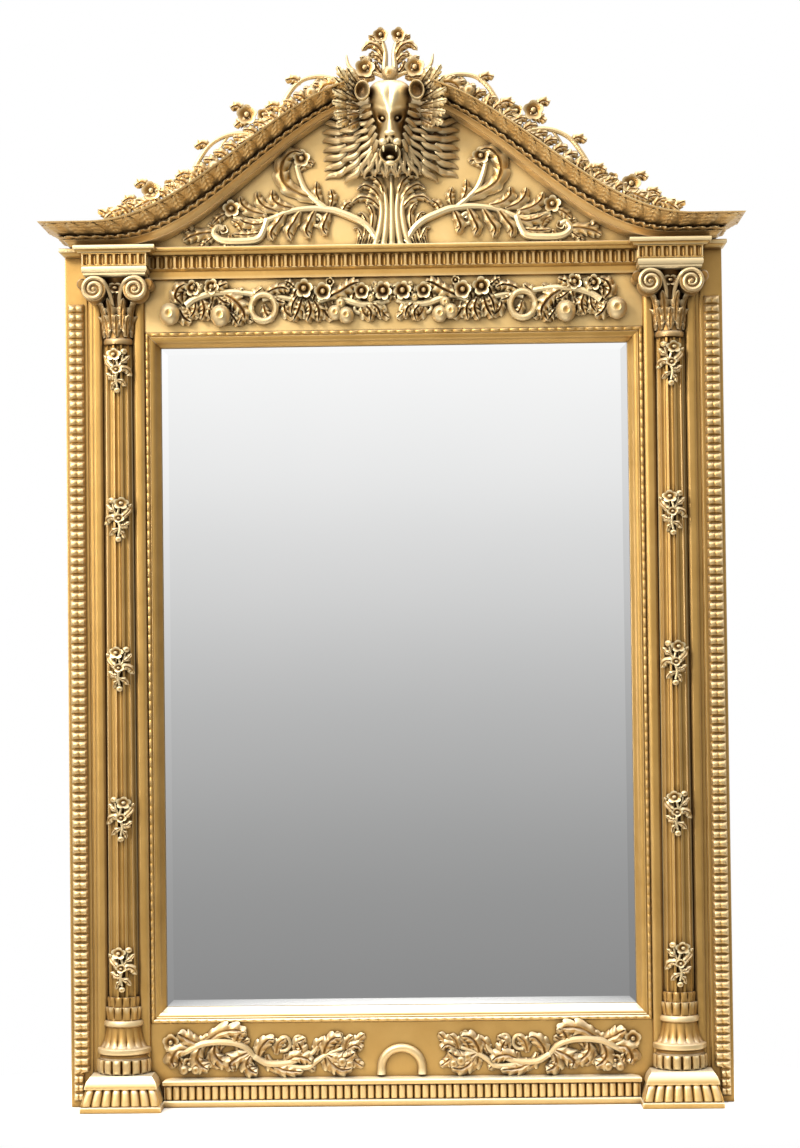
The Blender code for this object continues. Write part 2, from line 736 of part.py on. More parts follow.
def column_bases():
    """Gadrooned drum, scotia, fluted bell, ring and collar, worked as one turning."""
    z0, h, r = PLINTH_HEIGHT + GAP, BASE_HEIGHT - 2 * GAP, BASE_RADIUS
    neck = SHAFT_FOOT_RADIUS
    levels = (
        # share of the height, radius, depth of the gadroons
        (0.00, r * 0.97, 0.005),
        (0.19, r, 0.005),
        (0.20, r * 0.88, 0.0),
        (0.27, r * 0.94, 0.0),
        (0.50, r * 0.70, 0.004),
        (0.60, neck + 0.003, 0.003),
        (0.62, neck + 0.0055, 0.0),
        (0.69, neck + 0.0055, 0.0),
        (0.88, neck + 0.005, 0.003),
        (1.00, neck + 0.001, 0.003),
    )
    rings = [half_round(radius, z0 + h * share, 7, cut) for share, radius, cut in levels]
    pair(loft("base", rings), "column_base")


def shafts():
    rings = [
        half_round(SHAFT_FOOT_RADIUS, SHAFT_Z, SHAFT_FLUTES, FLUTE_CUT),
        half_round(SHAFT_HEAD_RADIUS, SHAFT_TOP - GAP, SHAFT_FLUTES, FLUTE_CUT),
    ]
    pair(loft("shaft", rings), "column_shaft", smooth=False)


BELL_LEAF = (
    # height as a share of the bell's, reach as a share of the shaft's radius there, breadth as a share
    (0.02, 1.154, 0.8),
    (0.45, 1.385, 1.0),
    (0.86, 1.923, 0.7),
    (0.96, 2.308, 0.25),
)


def capitals():
    """Neck ring, bell with upright leaves, two corner volutes set diagonally, and a square abacus."""
    seat = PILASTER_DEPTH + GAP
    throat = ABACUS_WIDTH / 2 - 0.006
    bell = [
        half_round(SHAFT_HEAD_RADIUS + 0.007, SHAFT_TOP),
        half_round(SHAFT_HEAD_RADIUS + 0.007, BELL_Z - 0.002),
        half_round(SHAFT_HEAD_RADIUS + 0.003, BELL_Z),
        half_round(SHAFT_HEAD_RADIUS + 0.006, BELL_Z + 0.45 * BELL_HEIGHT),
        half_round(SHAFT_HEAD_RADIUS + 0.022, BELL_Z + BELL_HEIGHT),
        half_round(SHAFT_HEAD_RADIUS + 0.018, ABACUS_Z + 0.004),
    ]
    shapes = [loft("bell", bell)]
    shapes.append(
        block(
            "abacus",
            (COLUMN_X - ABACUS_WIDTH / 2, -BLOCK_DEPTH, ABACUS_Z),
            (COLUMN_X + ABACUS_WIDTH / 2, -seat, CAPITAL_TOP - GAP),
        )
    )
    for side in (-1, 1):
        bm = bmesh.new()
        bmesh.ops.create_cone(
            bm, segments=9, radius1=VOLUTE_RADIUS, radius2=VOLUTE_RADIUS, depth=VOLUTE_THICKNESS, cap_ends=True
        )
        turn = Matrix.Rotation(side * math.pi / 4, 4, "Z") @ Matrix.Rotation(math.pi / 2, 4, "X")
        corner = at(COLUMN_X + side * (throat - 0.005), seat + throat - 0.012, VOLUTE_Z + 0.0015)
        bm.transform(Matrix.Translation(corner) @ turn)
        shapes.append(from_bmesh("volute", bm))
        inner = at(COLUMN_X + side * 0.030, seat + 0.020, VOLUTE_Z + 0.012)
        outer = at(COLUMN_X + side * throat * 0.9, seat + throat * 0.75, VOLUTE_Z + 0.004)
        shapes.append(rod("canalis", [inner, outer], [0.014, 0.012]))
    for angle in (-60, -20, 20, 60):
        lean = math.radians(angle)
        across = Vector((math.sin(lean), -math.cos(lean), 0))
        side = Vector((math.cos(lean), math.sin(lean), 0)) * 0.011
        axis = at(COLUMN_X, seat, 0)
        rings = []
        for share, reach, width in BELL_LEAF:
            here = axis + across * (reach * SHAFT_HEAD_RADIUS)
            here.z += BELL_Z + BELL_HEIGHT * share
            back = across * 0.010
            rings.append((here - side * width - back, here + across * 0.003, here + side * width - back))
        shapes.append(loft("bell_leaf", rings))
    pair(fuse("capital", shapes, [behind(PILASTER_DEPTH)]), "capital")


# Sprigs of leaves and buds applied up the front of each shaft
def shaft_radius(z):
    share = (z - SHAFT_Z) / (SHAFT_TOP - SHAFT_Z)
    return SHAFT_FOOT_RADIUS + (SHAFT_HEAD_RADIUS - SHAFT_FOOT_RADIUS) * share


SPRIG_TIPS = (
    # direction in degrees from the right, reach as a share of half the height, height as a share of the raise
    (88, 0.96, 0.60),
    (62, 0.93, 0.45),
    (32, 0.60, 0.35),
    (-6, 0.55, 0.40),
    (-42, 0.66, 0.35),
    (-78, 0.98, 0.65),
    (-112, 0.72, 0.50),
    (-150, 0.56, 0.35),
    (168, 0.54, 0.40),
    (134, 0.76, 0.35),
    (112, 0.97, 0.45),
)
SPRIG_HOLLOW = 0.55
SPRIG_SINK = 0.004


def ridge_hull(z):
    """A ring through the ridges between the flutes, clear of them by the gap."""
    step = math.pi / (2 * SHAFT_FLUTES)
    reach = shaft_radius(z) + GAP / math.cos(step)
    seat = PILASTER_DEPTH + GAP
    angles = [step * i for i in range(1, 2 * SHAFT_FLUTES, 2)]
    ring = [at(COLUMN_X - reach * math.cos(a), seat + reach * math.sin(a), z) for a in angles]
    return [at(COLUMN_X - 2 * reach, -1, z), *ring, at(COLUMN_X + 2 * reach, -1, z)]


def sprigs():
    """Each sprig is one boss with a pointed outline: a ridge runs to each leaf tip, and a hollow lies between
    two tips. Its back follows the round of the shaft. The sway changes hand from one sprig to the next."""
    top = SHAFT_TOP - SPRIG_HEIGHT * 0.55
    foot = SHAFT_Z + SPRIG_HEIGHT * 0.62
    half = SPRIG_HEIGHT / 2
    for i in range(SPRIGS):
        z = foot + (top - foot) * i / (SPRIGS - 1)
        radius = shaft_radius(z)
        hand = 1 if i % 2 else -1
        outline = []
        for j, (angle, reach, raised) in enumerate(SPRIG_TIPS):
            after = SPRIG_TIPS[(j + 1) % len(SPRIG_TIPS)]
            turn = (after[0] - angle + 540) % 360 - 180
            outline.append((angle, reach, raised))
            outline.append((angle + turn / 2, SPRIG_HOLLOW * (reach + after[1]) / 2, 0.22))
        bm = bmesh.new()
        rows = ([], [])
        for angle, reach, raised in outline:
            u = hand * reach * half * math.cos(math.radians(angle))
            v = reach * half * math.sin(math.radians(angle))
            wrap = u / radius
            for row, lift in zip(rows, (raised * SPRIG_RAISE, -SPRIG_SINK)):
                out = radius + lift
                place = at(COLUMN_X + out * math.sin(wrap), PILASTER_DEPTH + out * math.cos(wrap), z + v)
                row.append(bm.verts.new(place))
        crown = bm.verts.new(at(COLUMN_X, PILASTER_DEPTH + radius + SPRIG_RAISE, z))
        back = bm.verts.new(at(COLUMN_X, PILASTER_DEPTH + radius - 2 * SPRIG_SINK, z))
        rim, seat = rows
        for j in range(len(rim)):
            k = (j + 1) % len(rim)
            bm.faces.new((rim[j], rim[k], crown))
            bm.faces.new((seat[j], seat[k], rim[k], rim[j]))
            bm.faces.new((seat[k], seat[j], back))
        boss = from_bmesh("sprig", bm)
        core = loft("core", [ridge_hull(z - SPRIG_HEIGHT), ridge_hull(z + SPRIG_HEIGHT)])
        pair(fuse("sprig", [boss], [core]), f"column_sprig_{i + 1}")


# Relief on the flat grounds. Each table gives places as shares of its panel's half length and height.
def strokes(table, half_length, height, foot, raise_by, ground, shapes):
    """Adds carved strokes: each row is a form, a half width as a share of the height, and a route."""
    for i, (form, half_width, route) in enumerate(table):
        points = [(u * half_length, foot + v * height) for u, v in route]
        segments = len(route) if len(route) < 4 else len(route) + 2
        sink = 0.001 + 0.00015 * i
        shapes.append(carve(form, points, half_width * height, raise_by, ground, segments, form, sink))


GARLAND_STROKES = (
    ("scroll", 0.07, ((0.00, 0.50), (0.12, 0.56), (0.25, 0.50), (0.38, 0.62), (0.50, 0.78))),
    ("leaf", 0.13, ((0.46, 0.74), (0.62, 0.76), (0.76, 0.68), (0.91, 0.42))),
    ("leaf", 0.10, ((0.14, 0.52), (0.19, 0.76), (0.24, 0.92))),
    ("leaf", 0.11, ((0.24, 0.52), (0.30, 0.32), (0.38, 0.14))),
    ("leaf", 0.09, ((0.70, 0.72), (0.69, 0.48), (0.64, 0.24))),
    ("leaf", 0.09, ((0.78, 0.66), (0.81, 0.42), (0.82, 0.20))),
)
GARLAND_BLOSSOMS = (
    # across, up, radius as a share of the height
    (0.085, 0.54, 0.26),
    (0.190, 0.33, 0.20),
    (0.300, 0.68, 0.16),
    (0.385, 0.76, 0.16),
    (0.690, 0.34, 0.21),
    (0.760, 0.82, 0.14),
    (0.905, 0.37, 0.20),
)
GARLAND_RING = (0.50, 0.48, 0.26)


def garlands():
    """Garland of flowers, leaves and a ribbon ring, applied to each half of the upper frieze."""
    half, height = INNER_HALF - GAP, UPPER_FRIEZE_HEIGHT
    foot = TOP_RAIL_Z

    def ground(x):
        return CARCASS_DEPTH

    shapes = []
    strokes(GARLAND_STROKES, half, height, foot, GARLAND_RAISE * 0.7, ground, shapes)
    for i, (u, v, r) in enumerate(GARLAND_BLOSSOMS):
        sink = 0.0025 + 0.00015 * i
        place = u * half, foot + v * height, r * height
        shapes.append(blossom("blossom", *place, GARLAND_RAISE, ground, sink=sink))
    u, v, r = GARLAND_RING
    turns = 10
    hoop = [
        at(
            u * half + r * height * math.cos(2 * math.pi * i / turns),
            CARCASS_DEPTH + GARLAND_RAISE * 0.35,
            foot + v * height + r * height * math.sin(2 * math.pi * i / turns),
        )
        for i in range(turns + 1)
    ]
    shapes.append(ring_of(hoop[:-1], 0.0065))
    other_half = block("other_half", (-1, -1, foot - 1), (GAP / 2, 1, foot + 1))
    trims = [behind(CARCASS_DEPTH), other_half]
    pair(fuse("garland", shapes, trims, "MANIFOLD"), "frieze_garland")


def ring_of(points, radius):
    """A closed hoop of square section through points that lie in one upright plane."""
    bm = bmesh.new()
    middle = sum(points, Vector()) / len(points)
    rows = []
    for point in points:
        out = (point - middle).normalized() * radius
        forward = Vector((0, -radius, 0))
        rows.append([bm.verts.new(point + step) for step in (out, forward, -out, -forward)])
    for i, row in enumerate(rows):
        following = rows[(i + 1) % len(rows)]
        for j in range(4):
            k = (j + 1) % 4
            bm.faces.new((row[j], row[k], following[k], following[j]))
    return from_bmesh("hoop", bm)


LOWER_STROKES = (
    ("scroll", 0.10, ((0.12, 0.26), (0.20, 0.60), (0.32, 0.60), (0.43, 0.30), (0.55, 0.28), (0.66, 0.52))),
    ("leaf", 0.15, ((0.63, 0.46), (0.74, 0.78), (0.86, 0.84), (0.95, 0.78))),
    ("leaf", 0.12, ((0.14, 0.38), (0.18, 0.72), (0.26, 0.90))),
    ("leaf", 0.13, ((0.18, 0.50), (0.25, 0.26), (0.33, 0.12))),
    ("leaf", 0.13, ((0.32, 0.60), (0.42, 0.82), (0.51, 0.80))),
    ("leaf", 0.13, ((0.47, 0.28), (0.59, 0.14), (0.70, 0.14))),
    ("leaf", 0.14, ((0.63, 0.46), (0.76, 0.44), (0.85, 0.22), (0.93, 0.16))),
)
LOWER_BLOSSOMS = ((0.650, 0.36, 0.19), (0.850, 0.40, 0.17), (0.945, 0.72, 0.14))
ARCH_RADIUS_SHARE = 0.44


def lower_frieze():
    """Acanthus scroll on each half of the lower frieze, either side of a raised half-round arch."""
    half, height = COLUMN_X - PLINTH_WIDTH / 2 - GAP, LOWER_FRIEZE_HEIGHT
    foot = LOWER_FRIEZE_Z

    def ground(x):
        return CARCASS_DEPTH

    shapes = []
    strokes(LOWER_STROKES, half, height * 0.96, foot + height * 0.03, LOWER_SCROLL_RAISE, ground, shapes)
    for i, (u, v, r) in enumerate(LOWER_BLOSSOMS):
        sink = 0.0025 + 0.00015 * i
        x, z = u * half, foot + height * (0.03 + 0.94 * v)
        shapes.append(blossom("blossom", x, z, r * height, LOWER_SCROLL_RAISE, ground, sink=sink))
    pair(fuse("scroll", shapes, [behind(CARCASS_DEPTH)], "MANIFOLD"), "lower_frieze_scroll")

    outer, inner = ARCH_RADIUS_SHARE * height, ARCH_RADIUS_SHARE * height - 0.010
    steps = 12
    angles = [math.pi * i / steps for i in range(steps + 1)]
    outline = [(outer * math.cos(a), outer * math.sin(a)) for a in angles]
    outline += [(inner * math.cos(a), inner * math.sin(a)) for a in reversed(angles)]
    thickness = LOWER_SCROLL_RAISE * 0.7
    placing = frontal(0, CARCASS_DEPTH + GAP + thickness / 2, foot + 0.012)
    keep(extruded("arch", outline, thickness, placing), "lower_frieze_arch")


TYMPANUM_STROKES = (
    # shares of the tympanum's half span and of its rise
    ("scroll", 0.045, ((0.12, 0.20), (0.20, 0.36), (0.28, 0.30), (0.42, 0.27), (0.56, 0.16), (0.64, 0.20))),
    ("leaf", 0.060, ((0.26, 0.30), (0.38, 0.36), (0.42, 0.52), (0.38, 0.66), (0.32, 0.60))),
    ("leaf", 0.052, ((0.30, 0.28), (0.42, 0.34), (0.49, 0.40))),
    ("leaf", 0.055, ((0.26, 0.27), (0.30, 0.20), (0.33, 0.09))),
    ("leaf", 0.055, ((0.34, 0.26), (0.39, 0.18), (0.43, 0.07))),
    ("leaf", 0.050, ((0.42, 0.26), (0.50, 0.14), (0.58, 0.05), (0.68, 0.05))),
    ("leaf", 0.045, ((0.60, 0.18), (0.70, 0.13), (0.78, 0.07))),
)
TYMPANUM_BLOSSOMS = ((0.325, 0.57, 0.050), (0.600, 0.205, 0.052))


def tympanum_scrolls():
    """Acanthus scroll on each side of the tympanum, growing from the palmette."""
    span, rise = TYMPANUM_SPAN, TYMPANUM_RISE
    foot = PEDIMENT_Z + 0.003

    def ground(x):
        return TYMPANUM_DEPTH

    shapes = []
    strokes(TYMPANUM_STROKES, span, rise, foot, TYMPANUM_SCROLL_RAISE, ground, shapes)
    for i, (u, v, r) in enumerate(TYMPANUM_BLOSSOMS):
        sink = 0.0028 + 0.00015 * i
        place = u * span, foot + v * rise, r * rise
        shapes.append(blossom("blossom", *place, TYMPANUM_SCROLL_RAISE, ground, sink=sink))
    trims = [behind(TYMPANUM_DEPTH), above_arch(1, RAKE_STATIONS)]
    pair(fuse("scroll", shapes, trims, "MANIFOLD"), "tympanum_scroll")


# Palmette: upright leaves that fan out under the mask
PALMETTE_SHARE = 0.42


def palmette():
    foot, height = PEDIMENT_Z + GAP, TYMPANUM_RISE * PALMETTE_SHARE

    def ground(x):
        return TYMPANUM_DEPTH

    shapes = []
    for i, lean in enumerate((0, -1, 1, -2, 2)):
        base = lean * 0.0145
        tip = lean * (0.020 + 0.002 * abs(lean))
        top = foot + (height - 2 * GAP) * (1.0 - 0.13 * abs(lean))
        bend = (base * 1.02, foot + height * 0.45)
        points = [(base, foot + 0.010), bend, (tip, top)]
        half_width = 0.0105 if lean else 0.012
        shapes.append(carve("leaf", points, half_width, 0.020, ground, 3, "leaf", 0.001 + 0.0002 * i))
    shapes.append(slab("foot", 0.036, (TYMPANUM_DEPTH - 0.003, TYMPANUM_DEPTH + 0.012), (foot, foot + 0.020)))
    keep(fuse("palmette", shapes, [behind(TYMPANUM_DEPTH)], "MANIFOLD"), "palmette")


# Beast mask on its ruff of pointed locks
def ruff():
    """A shallow dome whose rim is cut into pointed locks, widest below the head."""
    bm = bmesh.new()
    locks = 16
    centre_z = CREST_TOP - 0.098
    rows = ([], [], [])
    for i in range(2 * locks):
        angle = math.pi * i / locks
        droop = 1.0 if math.sin(angle) < 0 else 1.0 - 0.42 * math.sin(angle) ** 2
        tip = RUFF_RADIUS * droop * (1.0 if i % 2 else 0.84)
        for row, share, lift in zip(rows, (0.42, 1.0, 1.0), (0.034, 0.010, -0.002)):
            x, z = tip * share * math.cos(angle), tip * 0.92 * share * math.sin(angle)
            row.append(bm.verts.new(at(x, TYMPANUM_DEPTH + lift, centre_z + z)))
    crown = bm.verts.new(at(0, TYMPANUM_DEPTH + 0.040, centre_z))
    inner, rim, foot = rows
    for i in range(2 * locks):
        j = (i + 1) % (2 * locks)
        bm.faces.new((inner[i], inner[j], crown))
        bm.faces.new((rim[i], rim[j], inner[j], inner[i]))
        bm.faces.new((foot[i], foot[j], rim[j], rim[i]))
    bm.faces.new(foot)
    return from_bmesh("ruff", bm)


HEAD_FORMS = (
    # centre across, out and up, then radii, as shares of the head's width, muzzle reach and height
    (0.00, 0.10, 0.14, 0.50, 0.42, 0.36),
    (0.24, 0.20, 0.02, 0.26, 0.30, 0.22),
    (-0.24, 0.20, 0.02, 0.26, 0.30, 0.22),
    (0.00, 0.45, -0.12, 0.24, 0.42, 0.20),
    (0.00, 0.62, -0.24, 0.20, 0.36, 0.15),
    (0.00, 0.42, -0.38, 0.16, 0.30, 0.12),
)


def head_reach(direction):
    """Distance from the middle of the head to its surface: the farthest of six ellipsoids along the line."""
    reach = 0.02
    for cx, cy, cz, rx, ry, rz in HEAD_FORMS:
        centre = Vector((cx * HEAD_WIDTH, -cy * MUZZLE_REACH, cz * HEAD_HEIGHT))
        radii = Vector((rx * HEAD_WIDTH, ry * MUZZLE_REACH, rz * HEAD_HEIGHT))
        d = Vector(direction[i] / radii[i] for i in range(3))
        c = Vector(centre[i] / radii[i] for i in range(3))
        root = d.dot(c) ** 2 - d.dot(d) * (c.dot(c) - 1)
        if root > 0:
            reach = max(reach, (d.dot(c) + math.sqrt(root)) / d.dot(d))
    return reach


def beast_mask():
    middle = at(0, TYMPANUM_DEPTH + HEAD_FORWARD, CREST_TOP - HEAD_DROP)
    bm = bmesh.new()
    bmesh.ops.create_uvsphere(bm, u_segments=14, v_segments=11, radius=1)
    bmesh.ops.rotate(bm, verts=bm.verts, cent=(0, 0, 0), matrix=Matrix.Rotation(math.radians(75), 3, "X"))
    for vert in bm.verts:
        direction = vert.co.normalized()
        vert.co = middle + direction * head_reach(direction)
    shapes = [from_bmesh("head", bm), ruff()]
    for side in (-1, 1):
        centre = middle + Vector((side * HEAD_WIDTH * 0.62, -0.004, HEAD_HEIGHT * 0.26))
        shapes.append(ball("ear", centre, (0.017, 0.012, 0.023), 8, 6))
    nape = slab(
        "nape",
        CREST_HALF_WIDTH,
        (TYMPANUM_DEPTH - 0.002, TYMPANUM_DEPTH + 0.030),
        (CREST_TOP - NAPE_HEIGHT, CREST_TOP - GAP),
    )
    shapes.append(nape)
    floor = slab("floor", 1, (0, 1), (PEDIMENT_Z - 1, PEDIMENT_Z + TYMPANUM_RISE * PALMETTE_SHARE + GAP))
    trims = [behind(TYMPANUM_DEPTH), floor]
    trims += [above_arch(-1, 4), above_arch(1, 4)]
    keep(fuse("mask", shapes, trims), "beast_mask")


# Spray of flowers over the mask, and the flowering vine that climbs each side of the arch
def crest_spray():
    foot, h = CREST_TOP + GAP, SPRAY_HEIGHT
    depth = TYMPANUM_DEPTH + 0.022

    def ground(x):
        return depth - 0.010

    shapes = [ball("berry", at(0, depth, foot + 0.012), (0.018, 0.018, 0.016), 8, 6)]
    for side in (-1, 1):
        stem = [(side * 0.006, foot + 0.002), (side * 0.011, foot + 0.4 * h), (side * 0.017, foot + 0.80 * h)]
        route = smooth_route(stem, 4)
        shapes.append(rod("stem", [at(p.x, depth, p.y) for p in route], [0.007, 0.006, 0.005, 0.0045]))
        top = foot + h - 0.016
        sink = 0.0012 + 0.0003 * side
        shapes.append(blossom("top_flower", side * 0.0185, top, 0.0165, 0.024, ground, 4, sink))
        low = foot + 0.24 * h
        shapes.append(blossom("low_flower", side * 0.050, low, 0.020, 0.026, ground, 4, 0.0022 + 0.0003 * side))
        branch = [(side * 0.010, foot + 0.004), (side * 0.030, foot + 0.08 * h), (side * 0.050, low)]
        route = smooth_route(branch, 4)
        shapes.append(rod("branch", [at(p.x, depth - 0.001, p.y) for p in route], [0.006, 0.006, 0.006, 0.005]))
        leaf = [(side * u, foot + v * h) for u, v in ((0.010, 0.45), (0.026, 0.62), (0.048, 0.52))]
        shapes.append(carve("leaf", leaf, 0.0065, 0.016, ground, 4, "leaf", 0.002 + 0.0002 * side))
        hook = [(side * 0.060, low), (side * 0.078, low + 0.004), (side * 0.086, low + 0.030)]
        shapes.append(carve("hook", hook, 0.0045, 0.014, ground, 4, "scroll", 0.003 + 0.0002 * side))
    clear = slab("clear", 1, (-1, 2), (foot - 1, foot))
    keep(fuse("spray", shapes, [clear], "MANIFOLD"), "crest_spray")


VINE_ARCS = (
    # start and end as shares of the arch's half span, height over the cornice
    (0.150, 0.365, 0.046),
    (0.455, 0.665, 0.036),
)
VINE_STEMS = (
    # foot on the arch, tip across, tip height over the cornice, flower radius
    (0.405, 0.475, 0.034, 0.0165),
    (0.700, 0.795, 0.030, 0.0175),
)
VINE_BERRIES = ((0.262, 0.020, 0.0125), (0.580, 0.017, 0.0130))
VINE_SEAT = 0.060


def vines():
    """Stem that runs along the top of the raking cornice and springs clear of it in two open loops."""
    depth = TYMPANUM_DEPTH + VINE_SEAT

    def over(share, height):
        x = share * RAKE_SPAN
        return at(x, depth, arch(x, RAKE_SPAN, CORNICE_TOP, RAKE_RISE) + GAP + height)

    start = (CREST_HALF_WIDTH + 0.006) / RAKE_SPAN
    end = 0.93
    count = 10
    shares = [start + (end - start) * i / count for i in range(count + 1)]
    shapes = [rod("runner", [over(s, 0.0035) for s in shares], [0.0062] * (count + 1))]
    for first, last, height in VINE_ARCS:
        steps = 6
        points = []
        for i in range(steps + 1):
            t = i / steps
            points.append(over(first + (last - first) * t, 0.004 + height * math.sin(math.pi * t) ** 0.7))
        shapes.append(rod("loop", points, [VINE_RADIUS] * (steps + 1)))
    for foot, tip, height, radius in VINE_STEMS:
        middle = over((foot + tip) / 2, height * 0.62)
        shapes.append(rod("stem", [over(foot, 0.003), middle, over(tip, height * 0.9)], [0.005, 0.0045, 0.004]))
        flower = over(tip, height)
        shapes.append(ball("flower", flower, (radius, 0.012, radius * 0.85), 7, 4))
    for share, height, radius in VINE_BERRIES:
        shapes.append(ball("berry", over(share, height - 0.004), (radius, radius, radius * 1.1), 6, 4))
    for share, height in ((0.92, 0.008), (0.70, 0.006)):
        shapes.append(ball("end_leaf", over(share, height), (0.024, 0.016, 0.013), 6, 4))
    clear = 2 * GAP
    outline = [(x, z + clear) for x, z in arch_stations(RAKE_SPAN, CORNICE_TOP, RAKE_RISE)]
    outline += [(1, CORNICE_TOP + clear), (1, 1), (0, 1), (0, outline[0][1])]
    top = extruded("top", outline, 1.0, frontal(0, depth, 0))
    pair(fuse("vine", shapes, [top], "MANIFOLD", flatness=1), "crest_vine")


stile()
rails()
ribbed_mouldings()
sight_mouldings()
plate()
base_band()
fluted_band()
entablature_blocks()
cornice_shelf()
tympanum()
raking_cornices()
plinths()
column_bases()
shafts()
capitals()
sprigs()
garlands()
lower_frieze()
tympanum_scrolls()
palmette()
beast_mask()
crest_spray()
vines()

WORKSHOP.hide_render = True
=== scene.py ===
"""Carved giltwood wall mirror: a bevelled plate between half columns, under an ogee pediment."""

import math

import bpy
import numpy as np
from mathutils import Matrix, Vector

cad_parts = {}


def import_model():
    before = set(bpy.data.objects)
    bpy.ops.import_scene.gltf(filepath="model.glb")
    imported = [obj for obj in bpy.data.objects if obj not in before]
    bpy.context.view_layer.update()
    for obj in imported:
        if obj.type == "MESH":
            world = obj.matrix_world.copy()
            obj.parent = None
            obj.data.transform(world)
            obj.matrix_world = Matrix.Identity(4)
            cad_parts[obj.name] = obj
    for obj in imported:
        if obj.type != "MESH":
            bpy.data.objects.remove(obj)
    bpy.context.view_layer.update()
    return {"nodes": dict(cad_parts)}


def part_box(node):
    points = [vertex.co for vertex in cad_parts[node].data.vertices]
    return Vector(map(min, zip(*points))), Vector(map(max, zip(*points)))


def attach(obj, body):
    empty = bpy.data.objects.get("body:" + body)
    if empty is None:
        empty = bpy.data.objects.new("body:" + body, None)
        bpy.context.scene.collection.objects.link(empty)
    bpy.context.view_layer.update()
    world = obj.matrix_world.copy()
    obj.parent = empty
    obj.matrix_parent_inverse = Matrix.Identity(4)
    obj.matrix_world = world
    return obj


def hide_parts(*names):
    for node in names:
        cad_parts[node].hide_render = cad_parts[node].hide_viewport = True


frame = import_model()

# Carcass: two stiles and two rails of pine, joined at the corners and hung from the top rail.
# Each stile is planed to a flat, a sunk channel for the column and a rounded fillet either side of it.
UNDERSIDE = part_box("left_stile")[0][2]
CARCASS_DEPTH = 0.045
INNER_HALF = 0.500
STILE_WIDTH = 0.160
COLUMN_X = 0.553
CHANNEL_DEPTH = 0.046
STILE_TOP = 1.700


def from_wall(x, depth, z):
    """Places given across, out from the wall and up from the frame's foot, turned into the shared frame:
    depth becomes -y, and the foot's height is added."""
    x, depth, z = np.broadcast_arrays(x, depth, z)
    return np.stack((x, -depth, z + UNDERSIDE), axis=-1).astype(float)


def skin(rings, ends="point"):
    """Closed skin over rings of points (ring, point, xyz): quads join each ring to the next, and each end
    closes with a fan round its middle, or with one flat face."""
    count, around = rings.shape[:2]
    points = rings.reshape(-1, 3)
    near = np.arange(count * around).reshape(count, around)
    beside = np.roll(near, -1, axis=1)
    quads = np.stack((near[:-1], near[1:], beside[1:], beside[:-1]), axis=-1).reshape(-1, 4)
    if ends == "flat":
        return points, [quads, near[:1, ::-1], near[-1:]]
    middles = rings[[0, -1]].mean(axis=1)
    first = np.full(around, len(points))
    low_fan = np.stack((first, near[0], beside[0]), axis=-1)
    high_fan = np.stack((first + 1, beside[-1], near[-1]), axis=-1)
    return np.concatenate((points, middles)), [quads, low_fan, high_fan]


def outward(points, faces):
    """The faces, all turned round if the signed volume that they close is negative."""
    corners = [(points - points.mean(axis=0))[group] for group in faces]
    volume = 0.0
    for group in corners:
        for i in range(1, group.shape[1] - 1):
            volume += np.einsum("ij,ij->", group[:, 0], np.cross(group[:, i], group[:, i + 1]))
    return [group[:, ::-1] for group in faces] if volume < 0 else faces


def mirrored(shapes):
    """The same shapes on the other side of the middle: x changes sign."""
    return [(points * (-1, 1, 1), faces) for points, faces in shapes]


def piece(name, shapes, finish, nodes=(), crease=38):
    """One piece made of closed shapes: their points and faces are laid end to end in a single mesh, edges
    sharper than the crease angle stay crisp, and the piece takes the place of the named nodes."""
    points, loops, sizes, start = [], [], [], 0
    for places, faces in shapes:
        for group in outward(places, faces):
            loops.append((group + start).ravel())
            sizes.append(np.full(len(group), group.shape[1]))
        points.append(places)
        start += len(places)
    points, loops, sizes = np.concatenate(points), np.concatenate(loops), np.concatenate(sizes)
    mesh = bpy.data.meshes.new(name)
    mesh.vertices.add(len(points))
    mesh.vertices.foreach_set("co", points.ravel())
    mesh.loops.add(len(loops))
    mesh.loops.foreach_set("vertex_index", loops)
    mesh.polygons.add(len(sizes))
    mesh.polygons.foreach_set("loop_start", np.concatenate(([0], np.cumsum(sizes)[:-1])))
    mesh.polygons.foreach_set("loop_total", sizes)
    mesh.update(calc_edges=True)
    mesh.validate()
    mesh.polygons.foreach_set("use_smooth", np.ones(len(mesh.polygons), dtype=bool))
    mesh.set_sharp_from_angle(angle=math.radians(crease))
    mesh.materials.append(finish)
    made = bpy.data.objects.new(name, mesh)
    bpy.context.scene.collection.objects.link(made)
    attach(made, "root")
    if nodes:
        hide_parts(*nodes)


def both_sides(name, shapes, finish, node):
    """The right-hand piece and its mirror image, each in place of its own node."""
    piece("right_" + name, shapes, finish, ["right_" + node])
    piece("left_" + name, mirrored(shapes), finish, ["left_" + node])


def linear(colour):
    """sRGB hex to linear red, green, blue and alpha."""
    channels = [int(colour[i : i + 2], 16) / 255 for i in (1, 3, 5)]
    return (*(c / 12.92 if c <= 0.04045 else ((c + 0.055) / 1.055) ** 2.4 for c in channels), 1.0)


def fill(tree, node, inputs):
    """Each input of a node takes a value, a hex colour, or another node's socket as a link."""
    for name, value in inputs.items():
        if isinstance(value, bpy.types.NodeSocket):
            tree.links.new(value, node.inputs[name])
        else:
            node.inputs[name].default_value = linear(value) if isinstance(value, str) else value


def add(tree, kind, inputs=None, **settings):
    """Adds a node with its settings and inputs."""
    node = tree.nodes.new(kind)
    for name, value in settings.items():
        setattr(node, name, value)
    fill(tree, node, inputs or {})
    return node


def mixed(tree, share, first, second):
    """Colour between two, by the share of the second."""
    return add(tree, "ShaderNodeMix", {0: share, 6: first, 7: second}, data_type="RGBA").outputs[2]


